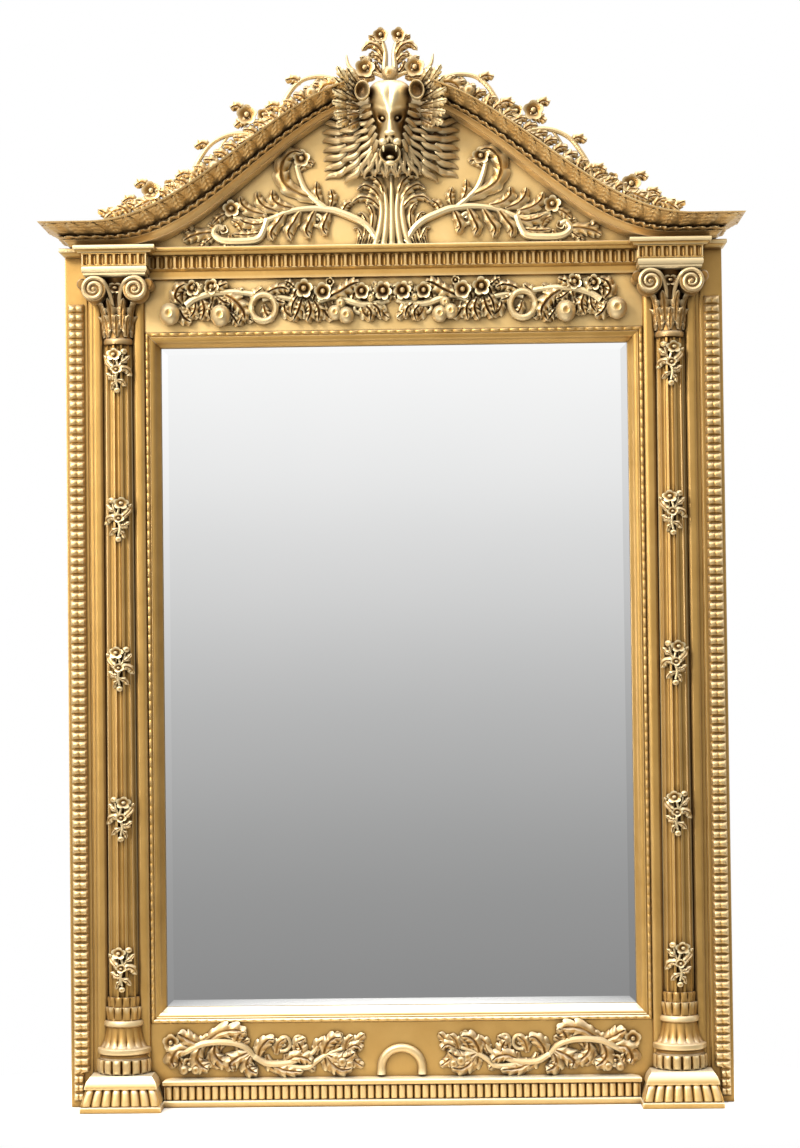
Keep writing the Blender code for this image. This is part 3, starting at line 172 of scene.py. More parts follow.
def ranged(tree, value, low, high, first=0.0, last=1.0):
    """Goes evenly from the first to the last while a value goes from low to high, and stops there."""
    ends = {"From Min": low, "From Max": high, "To Min": first, "To Max": last}
    return add(tree, "ShaderNodeMapRange", {"Value": value, **ends}).outputs["Result"]


def times(tree, first, second):
    """Product of two values."""
    return add(tree, "ShaderNodeMath", {0: first, 1: second}, operation="MULTIPLY").outputs[0]


def finish_named(name):
    """A new material with its node tree and its shader."""
    material = bpy.data.materials.new(name)
    material.use_nodes = True
    return material, material.node_tree, material.node_tree.nodes["Principled BSDF"]


def water_gilding(name, pale, deep, worn, hollows, ledges, proud=None):
    """Gold leaf over red-brown bole and gesso. Leaf is laid by hand, so its colour drifts from pale to deep
    every few centimetres. Where less than the hollows' share of the sky is open, it is painted dark brown:
    painted shade, with old toning size in the hollows as well. It is pale on ridges by the worn share. Faces
    that look up are painted towards cream by the ledges' share, a painted highlight from above. Whatever stands
    further from the wall than the proud depth is rubbed to cream as well. Backs are left as bare pine."""
    material, tree, shader = finish_named(name)
    place = add(tree, "ShaderNodeTexCoord").outputs["Object"]
    drift = add(tree, "ShaderNodeTexNoise", {"Vector": place, "Scale": 1 / 0.060, "Detail": 3.0}).outputs["Fac"]
    fine = {"Vector": place, "Scale": 1 / 0.0035, "Detail": 4.0, "Roughness": 0.6}
    speck = add(tree, "ShaderNodeTexNoise", fine).outputs["Fac"]
    geometry = add(tree, "ShaderNodeNewGeometry").outputs
    towards = add(tree, "ShaderNodeSeparateXYZ", {"Vector": geometry["Normal"]}).outputs
    # Painted shade: where the surface is closed in, the colour is mixed towards dark brown, with old toning
    # size there too.
    sky = add(tree, "ShaderNodeAmbientOcclusion", {"Distance": 0.020}, samples=8).outputs["AO"]
    out_of_painted_shade = ranged(tree, sky, hollows, hollows + 0.58)
    colour = mixed(tree, out_of_painted_shade, "#3E2408", mixed(tree, drift, deep, pale))
    # Painted light: faces that look up are mixed towards cream, a painted highlight from above, except in the
    # painted shade.
    painted_top_light = ranged(tree, towards["Z"], 0.25, 0.85, 0.0, ledges)
    colour = mixed(tree, times(tree, painted_top_light, out_of_painted_shade), colour, "#FAF2DA")
    if proud:
        out = add(tree, "ShaderNodeSeparateXYZ", {"Vector": place}).outputs["Y"]
        front = ranged(tree, out, -proud, -proud - 0.030, 0.0, 0.75)
        colour = mixed(tree, times(tree, front, out_of_painted_shade), colour, "#F3DFAE")
    if worn:
        rubbed = ranged(tree, geometry["Pointiness"], 0.51, 0.60, 0.0, worn)
        colour = mixed(tree, rubbed, colour, "#FBEBBE")
    bare = ranged(tree, towards["Y"], 0.60, 0.80)
    grain = add(tree, "ShaderNodeBump", {"Height": speck, "Strength": 0.25, "Distance": 0.0006})
    looks = {
        "Base Color": mixed(tree, bare, colour, "#A88455"),
        "Metallic": ranged(tree, bare, 0.0, 1.0, 0.72, 0.0),
        "Roughness": ranged(tree, speck, 0.3, 0.7, 0.34, 0.48),
        "Normal": grain.outputs["Normal"],
    }
    fill(tree, shader, looks)
    return material


# Leaf on wet bole, burnished with an agate: warm gold with a soft sheen, for plain mouldings.
GILDING = water_gilding("burnished_water_gilding", "#C19A58", "#9F7838", 0.55, 0.20, 0.28)
# The same with the full share of painted light: faces that look up are painted cream, highlights that set off
# each member.
PALE_GILDING = water_gilding("water_gilding_with_painted_highlights", "#CDA765", "#AB8545", 0.55, 0.16, 1.0)
# Rubbed on its ridges, with deep painted shade in its cuts: each leaf and petal is drawn by painted shade as
# well as its own shadow.
CARVED_GILDING = water_gilding("rubbed_water_gilding", "#BF9857", "#997135", 0.85, 0.36, 0.55)
# Toned with brown size, with painted shade in its hollows and painted light on its ledges: the deepest and
# quietest gold.
CREST_GILDING = water_gilding("toned_water_gilding", "#AC8447", "#835E2B", 0.50, 0.36, 0.50)
# Toned, then rubbed on what stands out: the beast's face is paler than its fur.
MASK_GILDING = water_gilding("rubbed_and_toned_water_gilding", "#B68F50", "#8B6530", 0.60, 0.34, 0.45, 0.118)
# Burnished, with hardly any painted shade in its cuts: a bright band that follows the arch.
CORNICE_GILDING = water_gilding("bright_water_gilding", "#D6B378", "#B58C4D", 0.60, 0.06, 0.55)
# Left matt, with no burnishing: a pale, even ground behind the carving.
PLAIN_GILDING = water_gilding("matt_water_gilding", "#DFC289", "#C7A160", 0.0, 0.22, 0.0)
# Matt: the same ground, but darker.
DEEP_GILDING = water_gilding("darker_matt_water_gilding", "#BF9A5A", "#A57E40", 0.0, 0.24, 0.0)


def dress(node, finish):
    """Keeps a node whose solid has its final shape, and gives it a finish."""
    for slot in frame["nodes"][node].material_slots:
        slot.material = finish


def rounded(corners, radius=0.0012, steps=3):
    """The same closed outline with each corner cut by a small arc: a quadratic curve from a little before the
    corner to a little after it, with the corner as its control point."""
    corners = np.array(corners, dtype=float)
    before, after = np.roll(corners, 1, axis=0) - corners, np.roll(corners, -1, axis=0) - corners
    to_last, to_next = (np.linalg.norm(side, axis=1, keepdims=True) for side in (before, after))
    reach = np.minimum(radius, 0.45 * np.minimum(to_last, to_next))
    start, end = corners + before / to_last * reach, corners + after / to_next * reach
    t = np.linspace(0, 1, steps)[None, :, None]
    arcs = (1 - t) ** 2 * start[:, None] + 2 * t * (1 - t) * corners[:, None] + t**2 * end[:, None]
    return arcs.reshape(-1, 2)


FACE = CARCASS_DEPTH + 0.0005
STILE_PROFILE = (
    (0.0, 0.0), (0.0, CHANNEL_DEPTH), (0.002, 0.0525), (0.008, 0.0545), (0.018, 0.0545), (0.023, 0.0515),
    (0.024, CHANNEL_DEPTH), (0.084, CHANNEL_DEPTH), (0.085, 0.0515), (0.090, 0.0545), (0.100, 0.0545),
    (0.105, 0.0525), (0.106, FACE), (0.112, FACE), (0.113, FACE - 0.002), (0.115, FACE - 0.002), (0.116, FACE),
    (0.119, FACE), (STILE_WIDTH - 0.004, FACE), (STILE_WIDTH, FACE), (STILE_WIDTH, 0.0),
)
across, depth = rounded(STILE_PROFILE).T
lengths = np.concatenate(([0.0, 0.004], np.linspace(0.2, 1.5, 7), [STILE_TOP - 0.004, STILE_TOP]))[:, None]
both_sides("stile", [skin(from_wall(INNER_HALF + across, depth, lengths), ends="flat")], GILDING, "stile")
dress("bottom_rail", DEEP_GILDING)
dress("top_rail", PLAIN_GILDING)

# Mirror plate: 6 mm float glass, silvered behind, with a bevel ground and polished round its front edge.
# It is held in the sight moulding's rebate, and a thin pine board closes the frame behind it.


def silvered_glass():
    """Silvering seen through clear glass: a clean, very slightly grey reflection with no blur."""
    material, tree, shader = finish_named("silvered_glass")
    place = add(tree, "ShaderNodeTexCoord").outputs["Object"]
    haze = add(tree, "ShaderNodeTexNoise", {"Vector": place, "Scale": 1 / 0.350, "Detail": 2.0}).outputs["Fac"]
    tint = mixed(tree, haze, "#F4F5F5", "#F8F8F8")
    fill(tree, shader, {"Base Color": tint, "Metallic": 1.0, "Roughness": 0.02})
    return material


def sawn_pine():
    """Unfinished pine: pale brown, with long growth lines up the board every 6 mm or so and a dull surface."""
    material, tree, shader = finish_named("sawn_pine")
    place = add(tree, "ShaderNodeTexCoord").outputs["Object"]
    along = add(tree, "ShaderNodeMapping", {"Vector": place, "Scale": (1.0, 1.0, 0.06)}).outputs["Vector"]
    rings = {"Vector": along, "Scale": 1 / 0.110, "Distortion": 9.0, "Detail": 4.0}
    growth = add(tree, "ShaderNodeTexWave", rings).outputs["Fac"]
    grain = add(tree, "ShaderNodeBump", {"Height": growth, "Strength": 0.3, "Distance": 0.0004})
    colour = mixed(tree, growth, "#94703F", "#AC8553")
    fill(tree, shader, {"Base Color": colour, "Roughness": 0.8, "Normal": grain.outputs["Normal"]})
    return material


dress("mirror_plate", silvered_glass())
dress("back_board", sawn_pine())

# Sight moulding: four mitred lengths of carved pine round the plate, with a row of beads along the outer edge,
# a fillet, a cove cut with slanting leaves and a plain slope down to the lip that holds the glass.
SIGHT_WIDTH = 0.030
SIGHT_LOW, SIGHT_HIGH = 0.164, 1.548
BEAD_PITCH = 0.019
LIP_DEPTH = 0.0245


def sight_surface(across, along):
    """Depth of the sight moulding at a distance in from its outer edge and a place along it. Beads are half
    rounds across with a rounded wave along, and the cove is a quarter hollow."""
    w = across * 1000
    wave = 0.35 + 0.65 * np.abs(np.sin(np.pi * along / BEAD_PITCH)) ** 0.6
    bead = wave * np.sqrt(np.clip(1 - ((w - 4.2) / 4.0) ** 2, 0, 1))
    fillet = 1.2 * np.clip(1 - np.abs(w - 10.4) / 1.4, 0, 1) ** 0.4
    cove = -8.5 * (1 - np.sqrt(np.clip(1 - (np.clip(w - 11.6, 0, 10.0) / 10.0) ** 2, 0, 1)))
    slope = -10.5 * np.clip((w - 21.6) / 8.4, 0, 1)
    return CARCASS_DEPTH + (4.4 * bead + fillet + cove + slope * 1.05) / 1000


def sight_length(corner_a, corner_b, inward):
    """One mitred length: each line of the profile runs parallel to the outer edge and is shorter by its own
    distance in at both ends. The last points go down the back of the lip and the rebate."""
    start, end, inward = (np.array(place, dtype=float) for place in (corner_a, corner_b, inward))
    length = np.linalg.norm(end - start)
    along = (end - start) / length
    runs = np.linspace(0, 0.0086, 12), np.linspace(0.0090, 0.0120, 6), np.linspace(0.0130, SIGHT_WIDTH, 14)
    rebate = SIGHT_WIDTH - 0.010
    back = np.array([(SIGHT_WIDTH, LIP_DEPTH), (rebate, LIP_DEPTH), (rebate, 0.004), (0, 0.004)])
    w = np.concatenate((*runs, back[:, 0]))
    share = np.linspace(0.0002, 1 - 0.0002, int(length / BEAD_PITCH * 7))[:, None]
    run = w + share * (length - 2 * w)
    depth = sight_surface(w, run)
    depth[:, -len(back) :] = back[:, 1]
    x = start[0] + along[0] * run + inward[0] * w
    z = start[1] + along[1] * run + inward[1] * w
    return skin(from_wall(x, depth, z), ends="flat")


sight_sides = {
    "bottom": ((-INNER_HALF, SIGHT_LOW), (INNER_HALF, SIGHT_LOW), (0, 1)),
    "right": ((INNER_HALF, SIGHT_LOW), (INNER_HALF, SIGHT_HIGH), (-1, 0)),
    "top": ((INNER_HALF, SIGHT_HIGH), (-INNER_HALF, SIGHT_HIGH), (0, -1)),
    "left": ((-INNER_HALF, SIGHT_HIGH), (-INNER_HALF, SIGHT_LOW), (1, 0)),
}
for side, place in sight_sides.items():
    # The bottom length, whose slope looks up, takes the finish with the most painted light on its ledges.
    finish = PALE_GILDING if side == "bottom" else GILDING
    piece("sight_length_" + side, [sight_length(*place)], finish, ["sight_moulding_" + side])

# Ribbed moulding: one strip down the outer side of each stile, cut across by the carver into small round
# bars, each nicked at its middle. It stops short of the fascia and fits round the plinth's corner.
RIB_PITCH = 0.0176
RIB_LOW, RIB_HIGH = 0.012, 1.606
RIB_INNER, RIB_OUTER = 0.6222, 0.6538
PLINTH_TOP = 0.069
PLINTH_HALF = 0.080
PLINTH_SIDE = COLUMN_X + PLINTH_HALF


def ribbed_strip():
    """Depth is a low bed plus a bar: half an ellipse up the pitch, less a nick of gaussian shape across the
    middle, and rounded off towards both edges. Below the plinth's top the inner edge steps outwards."""
    count = round((RIB_HIGH - RIB_LOW) / RIB_PITCH)
    share = (np.arange(count)[:, None] + (0.06, 0.12, 0.24, 0.40, 0.60, 0.76, 0.88, 0.94)).ravel() / count
    share = np.concatenate(([0.0], share, [1.0]))
    z = (RIB_LOW + share * (RIB_HIGH - RIB_LOW))[:, None]
    across = np.concatenate(([-1.0], np.linspace(-0.94, 0.94, 11), [1.0]))[None, :]
    turn = (share * count % 1.0)[:, None]
    bar = np.sqrt(np.clip(1 - ((turn - 0.5) / 0.455) ** 2, 0, 1))
    body = (1 - np.abs(across) ** 8) * (1 - 0.20 * np.exp(-((across / 0.10) ** 2)))
    depth = CARCASS_DEPTH + 0.0045 + 0.0095 * bar * body
    inner = np.where(z < PLINTH_TOP + 0.001, PLINTH_SIDE + 0.0005, RIB_INNER)
    x = inner + (RIB_OUTER - inner) * (across + 1) / 2
    back = np.broadcast_to(CARCASS_DEPTH - 0.001, (len(share), 1))
    x = np.concatenate((x, x[:, -1:], x[:, :1]), axis=1)
    depth = np.concatenate((depth, back, back), axis=1)
    return skin(from_wall(x, depth, z), ends="flat")


both_sides("ribbed_strip", [ribbed_strip()], GILDING, "ribbed_moulding")

# Reeded band along the foot of the bottom rail: a fillet to stand on, a row of upright reeds with rounded
# heads, and a cap with a small hollow under it. It is glued to the rail between the two plinths.
REED_PITCH = 0.0155
BAND_HALF = 0.4725


def metres(row):
    """Pairs of numbers in millimetres, one after another or in brackets, as pairs in metres."""
    return np.reshape(row, (-1, 2)) / 1000


def stack(corners, levels, repeats=(), cut=None):
    """Mouldings that run round a plan: each level moves every side of the plan out by its own amount, with
    mitred corners, and sets its height. Then cut, a function of the place along a side counted in repeats and
    of the height, sinks the surface. The plan's open side is the back."""
    corners = np.array(corners, dtype=float)
    sides = np.diff(corners, axis=0)
    lengths = np.linalg.norm(sides, axis=1)
    normals = np.stack((sides[:, 1], -sides[:, 0]), axis=1) / lengths[:, None]
    mitre = np.concatenate((normals[:1], normals[:-1] + normals[1:], normals[-1:]))
    mitre = mitre / (mitre**2).sum(axis=1, keepdims=True) * np.array([1, *[2] * (len(sides) - 1), 1])[:, None]
    out, heights = np.array(levels, dtype=float).T
    moved = corners[None] + mitre[None] * out[:, None, None]
    rings = []
    for i in range(len(sides)):
        number = repeats[i] if i < len(repeats) else 0
        t = np.linspace(0, 1, number * 8 + 1 if number else 2)
        run = moved[:, i, None] + t[None, :, None] * (moved[:, i + 1] - moved[:, i])[:, None]
        if number:
            sunk = cut(t[None, :] * number, heights[:, None])
            sunk[:, [0, -1]] = 0
            run = run - normals[i] * sunk[..., None]
        rings.append(run if i == 0 else run[:, 1:])
    plan = np.concatenate(rings, axis=1)
    return skin(from_wall(plan[..., 0], plan[..., 1], heights[:, None]), ends="flat")


def between(z, low, high):
    """Whether a height lies between two others, by more than a micrometre."""
    return (z > low + 1e-6) & (z < high - 1e-6)


def reeds(low, high, depth, swell=0.30):
    """Cut for a row of reeds between two heights. Across, each is a rounded power of an ellipse, with a gap
    between two of them, and its head and foot are rounded by a root of the height."""

    def cut(place, z):
        across = np.clip(1 - (np.abs((place % 1) - 0.5) / (0.5 - 0.06)) ** 2, 0, 1) ** swell
        up = np.clip(np.minimum(z - low, high - z) / 0.0035, 0, 1) ** 0.5
        return depth * (1 - across * up) * between(z, low, high)

    return cut


def flutes(low, high, depth, width=0.34):
    """Cut for a row of hollow flutes between two heights, each half an ellipse across, with round ends."""

    def cut(place, z):
        reach = np.clip(np.minimum(z - low, high - z) / 0.004, 0, 1)
        half = width * np.sqrt(1 - (1 - reach) ** 2) + 1e-6
        across = np.sqrt(np.clip(1 - (np.abs((place % 1) - 0.5) / half) ** 2, 0, 1))
        return depth * across * between(z, low, high)

    return cut


def facing(x_low, x_high, seat, front):
    """Plan of a block that sits against a seat: out along its right side, across its front and back along its
    left."""
    return [(x_high, seat), (x_high, front), (x_low, front), (x_low, seat)]


# Each moulding's levels are pairs: out from the plan, and up.
band_levels = metres((
    (2.5, 0), (3, 1), (3, 10), (1.5, 12), (0, 12.1), (0, 13.5), (0, 15), (0, 17.5), (0, 36.5), (0, 39),
    (0, 40.5), (0, 41.9), (0.8, 42), (3, 43.5), (3.4, 46), (3.4, 50), (1, 52.5), (-5, 54.5), (-14, 56),
))
band_plan = facing(-BAND_HALF, BAND_HALF, CARCASS_DEPTH, 0.0630)
band_reeds = reeds(*metres((12.1, 41.9))[0], 0.0075)
band = stack(band_plan, band_levels, (0, round(2 * BAND_HALF / REED_PITCH), 0), band_reeds)
piece("reeded_band", [band], PALE_GILDING, ["reeded_base_band"])

# Plinths: square blocks under the columns, with a fillet, a flaring band of reeds and a cap with sloping
# sides. The reeds are cut on the front and on both sides, and catch the light from above.
SEAT = 0.051
plinth_levels = metres((
    (0, 0), (0, 9), (-1, 10), (-1.8, 10.1), (-1.8, 11.5), (-2, 13.5), (-2.6, 17), (-5, 26), (-8, 35),
    (-9.6, 40), (-10.4, 42.5), (-11, 44.9), (-8.5, 45), (-8, 46.2), (-8.6, 50), (-12, 59), (-16.5, 65),
    (-18.5, 68), (-19, 1000 * PLINTH_TOP),
))
plinth_plan = facing(COLUMN_X - PLINTH_HALF, PLINTH_SIDE, SEAT, SEAT + PLINTH_HALF)
plinth = stack(plinth_plan, plinth_levels, (4, 8, 4), reeds(*metres((10.1, 44.9))[0], 0.0070))
both_sides("plinth_block", [plinth], PALE_GILDING, "plinth")

# Column bases: turned and carved half rounds, with a drum of gadroons, a hollow, a fluted bell, a ring and
# a collar of upright leaves that holds the foot of the shaft.
LET_IN = 0.0045
FULLNESS = 1.08


def half_round(radius, angle, z):
    """Place on a half round let into the seat, at an angle from its front. It is a little deeper than a half
    circle."""
    return from_wall(COLUMN_X + radius * np.sin(angle), SEAT - LET_IN + FULLNESS * radius * np.cos(angle), z)


def turning(levels, lobing, around=97):
    """Half of a turned form: the radius at a height comes from pairs of heights and radii, and lobing, a
    function of the angle and the height, adds to it. The chord across its back lies on the seat."""
    heights, radii = np.array(levels, dtype=float).T[:, :, None]
    angle = np.linspace(0, np.pi, around)[None, :]
    return skin(half_round(radii + lobing(angle, heights), np.pi / 2 - angle, heights), ends="flat")


base_levels = metres((
    (69.2, 50), (70, 52), (73, 54.5), (78, 55.2), (90, 55.2), (95, 54.5), (97.5, 52.5), (98, 49.5), (101, 47),
    (105, 47), (107.5, 50), (109, 52.5), (113, 53.8), (118, 53), (120.5, 50), (121, 47), (125, 44.8),
    (133, 41.5), (144, 38.5), (156, 36.2), (160.5, 35.5), (161, 37.5), (164, 40), (170, 40), (173.5, 37.5),
    (174, 34.5), (178, 35), (190, 36.2), (197.5, 37.2), (200, 36), (200.5, 32.5), (210, 33), (216.5, 33.8),
    (220, 32),
))


def base_carving(angle, z):
    """Gadroons on the drum, reeds on the bell and leaves on the collar, as waves round the turning. Each is a
    power of a sine, so that it is round on top and sharp between."""

    def wave(count, power):
        return np.abs(np.sin(angle * count)) ** power - 1

    gadroon = 0.0080 * wave(8, 0.45) * ((z > 0.0705) & (z < 0.0972))
    bell = 0.0055 * wave(7, 0.50) * np.clip((0.1600 - z) / 0.030, 0.25, 1) * ((z > 0.1212) & (z < 0.1602))
    collar = 0.0060 * wave(6, 0.60) * np.clip((z - 0.172) / 0.012, 0, 1) * ((z > 0.1742) & (z < 0.1990))
    tips = 0.0060 * wave(6, 0.60) * ((z > 0.2006) & (z < 0.2190))
    return gadroon + bell + collar + tips


both_sides("column_base", [turning(base_levels, base_carving)], CARVED_GILDING, "column_base")

# Shafts: half columns turned with a slight taper and cut with deep flutes between rounded fillets.
SHAFT_LOW, SHAFT_HIGH = 0.220, 1.521
SHAFT_FLUTES = 5


def shaft_radius(z):
    """Radius at a height: it falls evenly from 30 mm at the foot to 26 mm at the neck."""
    return 0.030 - 0.004 * (z - SHAFT_LOW) / (SHAFT_HIGH - SHAFT_LOW)


def fluting(angle, z):
    """Each flute is half an ellipse, hollow, over the middle 72% of its share of the angle, at every height."""
    place = (angle * SHAFT_FLUTES / np.pi) % 1.0
    hollow = np.sqrt(np.clip(1 - ((place - 0.5) / 0.36) ** 2, 0, 1))
    return -0.0062 * hollow


shaft_levels = [(z, shaft_radius(z)) for z in np.linspace(SHAFT_LOW + 0.0002, SHAFT_HIGH - 0.0002, 24)]
both_sides("fluted_shaft", [turning(shaft_levels, fluting, 121)], GILDING, "column_shaft")

# Capitals: turned bells with a neck ring, two rows of acanthus leaves, volutes that roll forward under the
# abacus, and rolls at the outer corners. Each is carved from one block and glued over its shaft.
ABACUS_Z = 1.656
BELL_Z = 1.536
BELL_GIRTH = 0.030
BLOCK_HALF = 0.065
BLOCK_FRONT = 0.116


def through(points, count):
    """Smooth route through the given points: Catmull-Rom, each span a cubic whose slope at a point is half the
    step between that point's neighbours."""
    knots = np.array(points, dtype=float)
    knots = np.concatenate((2 * knots[:1] - knots[1:2], knots, 2 * knots[-1:] - knots[-2:-1]))
    place = np.linspace(0, len(points) - 1, count)
    k = np.minimum(place.astype(int), len(points) - 2)
    t = (place - k)[:, None]
    a, b, c, d = (knots[k + i] for i in range(4))
    return b + t * (c - a) / 2 + t**2 * (a - 2.5 * b + 2 * c - 0.5 * d) + t**3 * (1.5 * (b - c) + 0.5 * (d - a))


def circle(count):
    """Angles evenly round a circle, as one row."""
    return np.linspace(0, 2 * np.pi, count, endpoint=False)[None, :]


def rings_at(u, v, w):
    """Rings of points from their three coordinates, each stretched to the same shape."""
    return np.stack(np.broadcast_arrays(u, v, w), axis=-1)


def route_frame(points, count):
    """A route as across, up and lift (no lift where the points have none), with its unit steps ahead and
    to the left."""
    points = np.array(points, dtype=float)
    if points.shape[1] == 2:
        points = np.column_stack((points, np.zeros(len(points))))
    route = through(points, count)
    ahead = np.gradient(route[:, :2], axis=0)
    ahead = ahead / np.maximum(np.linalg.norm(ahead, axis=1, keepdims=True), 1e-9)
    left = np.stack((-ahead[:, 1], ahead[:, 0]), axis=1)
    return route, ahead, left


def leaf(points, half_width, height, lobes=4, curl=0.5, fold=0.30):
    """Carved acanthus leaf along a route. Its half width swells and tapers as a power of a sine, notched into
    lobes that lean forward. Across, the height is an arch with a groove on the midrib and a slanting groove
    between lobes, and the tip lifts by the curl. Its back is flat and lies just under the ground."""
    count = 6 * lobes + 3
    route, ahead, left = route_frame(points, count)
    s = np.linspace(0, 1, count)[:, None]
    c = np.linspace(-1, 1, 9)[None, :]
    lobe = np.abs(np.sin(np.pi * np.clip(lobes * s, 0, lobes))) ** 0.7
    swell = np.sin(np.pi * (0.14 + 0.855 * s)) ** 0.72
    reach = half_width * swell * (0.66 + 0.34 * lobe)
    lean = 0.55 * half_width * swell * lobe * c**2
    arch = 0.30 + 0.70 * np.sqrt(1 - 0.92 * c**2)
    rib = fold * np.exp(-((c / 0.16) ** 2))
    vein = 0.34 * (1 - np.abs(np.sin(np.pi * (lobes * s - 0.35 * np.abs(c)))) ** 0.6) * np.abs(c) ** 0.7
    rise = (0.45 + 0.55 * np.sin(np.pi * (0.10 + 0.80 * s))) * (arch - rib - vein)
    tip = curl * np.clip((s - 0.62) / 0.38, 0, 1) ** 1.5
    w = height * np.maximum(rise + tip, 0.12) + route[:, 2:3]
    uv = route[:, None, :2] + (c * reach)[..., None] * left[:, None] + lean[..., None] * ahead[:, None]
    front = np.concatenate((uv, w[..., None]), axis=2)
    under = np.array([0.8, 0.0, -0.8])[None, :]
    back_uv = route[:, None, :2] + (under * reach)[..., None] * left[:, None]
    back_w = np.where(tip > 0, height * tip * 0.9, 0.0) + route[:, 2:3] - 0.0012
    back = np.concatenate((back_uv, np.broadcast_to(back_w[..., None], (count, 3, 1))), axis=2)
    return np.concatenate((front, back), axis=1), "point"


def stem(points, radii, sink=0.3, count=None, around=8):
    """Round stem along a route, with radii smoothed through the given list, its middle lifted off the ground
    by less than its radius so that it is let in."""
    count = count or 6 * len(points) + 1
    route, ahead, left = route_frame(points, count)
    radius = np.maximum(through(np.array(radii, dtype=float)[:, None], count), 0.0002)
    turn = circle(around)
    uv = route[:, None, :2] + (radius * np.cos(turn))[..., None] * left[:, None]
    w = route[:, 2:3] + radius * (1 - sink) + radius * np.sin(turn)
    return np.concatenate((uv, w[..., None]), axis=2), "point"


def undergrowth(points, count, length, half_width, height, hands=(1, -1)):
    """Small leaves that fill the ground along a route, on one hand or on both in turn. Each sets off square to
    the route and bends ahead."""
    route, ahead, left = route_frame(points, count)
    forms = []
    for i in range(count):
        aside = hands[i % len(hands)] * left[i]
        root, lift = route[i, :2], route[i, 2]
        bends = 0.0 * aside, 0.45 * aside + 0.12 * ahead[i], 0.78 * aside + 0.50 * ahead[i]
        forms.append(leaf([(*(root + length * bend), lift) for bend in bends], half_width, height, 3, 0.4))
    return forms


def berry(u, v, radius, lift=0.0, tall=1.0, around=14):
    """Round fruit: a ball let into the ground by a third of its radius, with a small dimple at its crown."""
    polar = np.linspace(0.06, np.pi - 0.06, 11)[:, None]
    out = radius * np.sin(polar)
    dimple = 1 - 0.18 * np.exp(-(((polar - np.pi) / 0.3) ** 2))
    w = lift + 0.66 * radius * tall - radius * tall * np.cos(polar) * dimple
    return rings_at(u + out * np.cos(circle(around)), v + out * np.sin(circle(around)), w), "point"


def blossom(u, v, radius, height, petals=5, turn=0.0, lift=0.0):
    """Flower from above: rings from its rim to its crown. The rim's radius is notched between petals, the
    petals dish in the middle, and a round button stands in the dish."""
    angle = circle(petals * 6)
    petal = np.abs(np.cos((angle - turn) * petals / 2)) ** 0.55
    spread = np.array([0.55, 0.90, 1.00, 0.96, 0.72, 0.44, 0.30, 0.28, 0.20, 0.08])[:, None]
    raised = np.array([-0.10, 0.25, 0.52, 0.72, 0.66, 0.42, 0.38, 0.62, 0.90, 0.99])[:, None]
    follow = np.array([0.6, 0.9, 1.0, 1.0, 0.8, 0.4, 0.0, 0.0, 0.0, 0.0])[:, None]
    reach = radius * spread * (1 - 0.30 * follow * (1 - petal))
    w = lift + height * raised * (1 - 0.22 * follow * (1 - petal))
    return rings_at(u + reach * np.cos(angle), v + reach * np.sin(angle), w), "point"


def curled(u, v, radius, turns, start, hand=1, tight=0.78, count=13):
    """Points of a spiral that winds inwards: the angle grows evenly, and the radius shrinks evenly."""
    t = np.linspace(0, 1, count)
    angle = start + hand * 2 * np.pi * turns * t
    r = radius * (1 - tight * t)
    return np.stack((u + r * np.cos(angle), v + r * np.sin(angle)), axis=1)


def laid_on(surface, forms):
    """Closed shapes from forms given across, up and out: the surface says where such a point lies."""
    return [skin(surface(*np.moveaxis(rings, -1, 0)), ends) for rings, ends in forms]


def bell_radius(z):
    """The bell is the shaft's width at its neck and flares as the square of the height to the abacus."""
    rise = np.clip((z - BELL_Z) / (ABACUS_Z - BELL_Z), 0, 1)
    return 0.0265 + 0.016 * rise**2


def round_bell(u, v, w):
    """Wraps across round the bell as an angle, and adds out to its radius."""
    return half_round(bell_radius(v) + w, u / BELL_GIRTH, v)


def before(depth, middle=0.0):
    """Surface for carving that lies on an upright plane: across from the middle, up, and out from the depth."""
    return lambda u, v, w: from_wall(middle + u, depth + w, v)


neck_levels = metres(((1521.2, 26.5), (1523, 29), (1528, 30), (1533, 29), (1535, 26.8)))
capital_levels = [*neck_levels, *((z, bell_radius(z)) for z in np.linspace(BELL_Z, ABACUS_Z, 12))]
capital = [turning(capital_levels, lambda angle, z: 0.0, 49)]
bell_leaves = []
for degrees in (-76, -38, 0, 38, 76):
    u = math.radians(degrees) * BELL_GIRTH
    bell_leaves.append(leaf([(u, 1.537), (u, 1.556), (u, 1.580)], 0.0105, 0.0075, 3, curl=1.1))
for degrees in (-57, -19, 19, 57):
    u = math.radians(degrees) * BELL_GIRTH
    bell_leaves.append(leaf([(u, 1.552), (u, 1.580), (u, 1.612)], 0.0110, 0.0085, 4, curl=1.5))
bell_leaves.append(blossom(0.0, 1.632, 0.011, 0.014, petals=6, lift=0.004))
capital += laid_on(round_bell, bell_leaves)


def volute(hand):
    """Volute at one side of the front: a short drum with its axis out from the wall, a band that rises from the
    middle of the bell over it, and winds in on its face to an eye."""
    middle, height, front = hand * 0.041, 1.628, 0.066
    spread = np.array([0.020, 0.0235, 0.0245, 0.0220, 0.0235, 0.0245, 0.0235, 0.0200])[:, None]
    out = np.array([0.000, 0.0005, 0.030, 0.040, 0.052, 0.0600, 0.0635, 0.0640])[:, None]
    drum = rings_at(middle + spread * np.cos(circle(32)), height + spread * np.sin(circle(32)), out)
    winding = curled(middle, height, 0.0225, 1.9, math.pi / 2, -hand, 0.86, 29)
    leg = [(hand * 0.007, 1.598), (hand * 0.009, 1.616), (hand * 0.018, 1.638), (hand * 0.028, 1.6475)]
    band = np.concatenate((leg, winding))
    lift = np.concatenate(([0.030, 0.046, 0.060, 0.062], np.full(len(winding), front - 0.004)))
    radii = [0.0040, 0.0046, 0.0046, 0.0040, 0.0030, 0.0022]
    scroll = stem(np.column_stack((band, lift)), radii, sink=0.5, count=120)
    return [(drum, "flat"), scroll, berry(middle, height, 0.0050, lift=front - 0.005)]


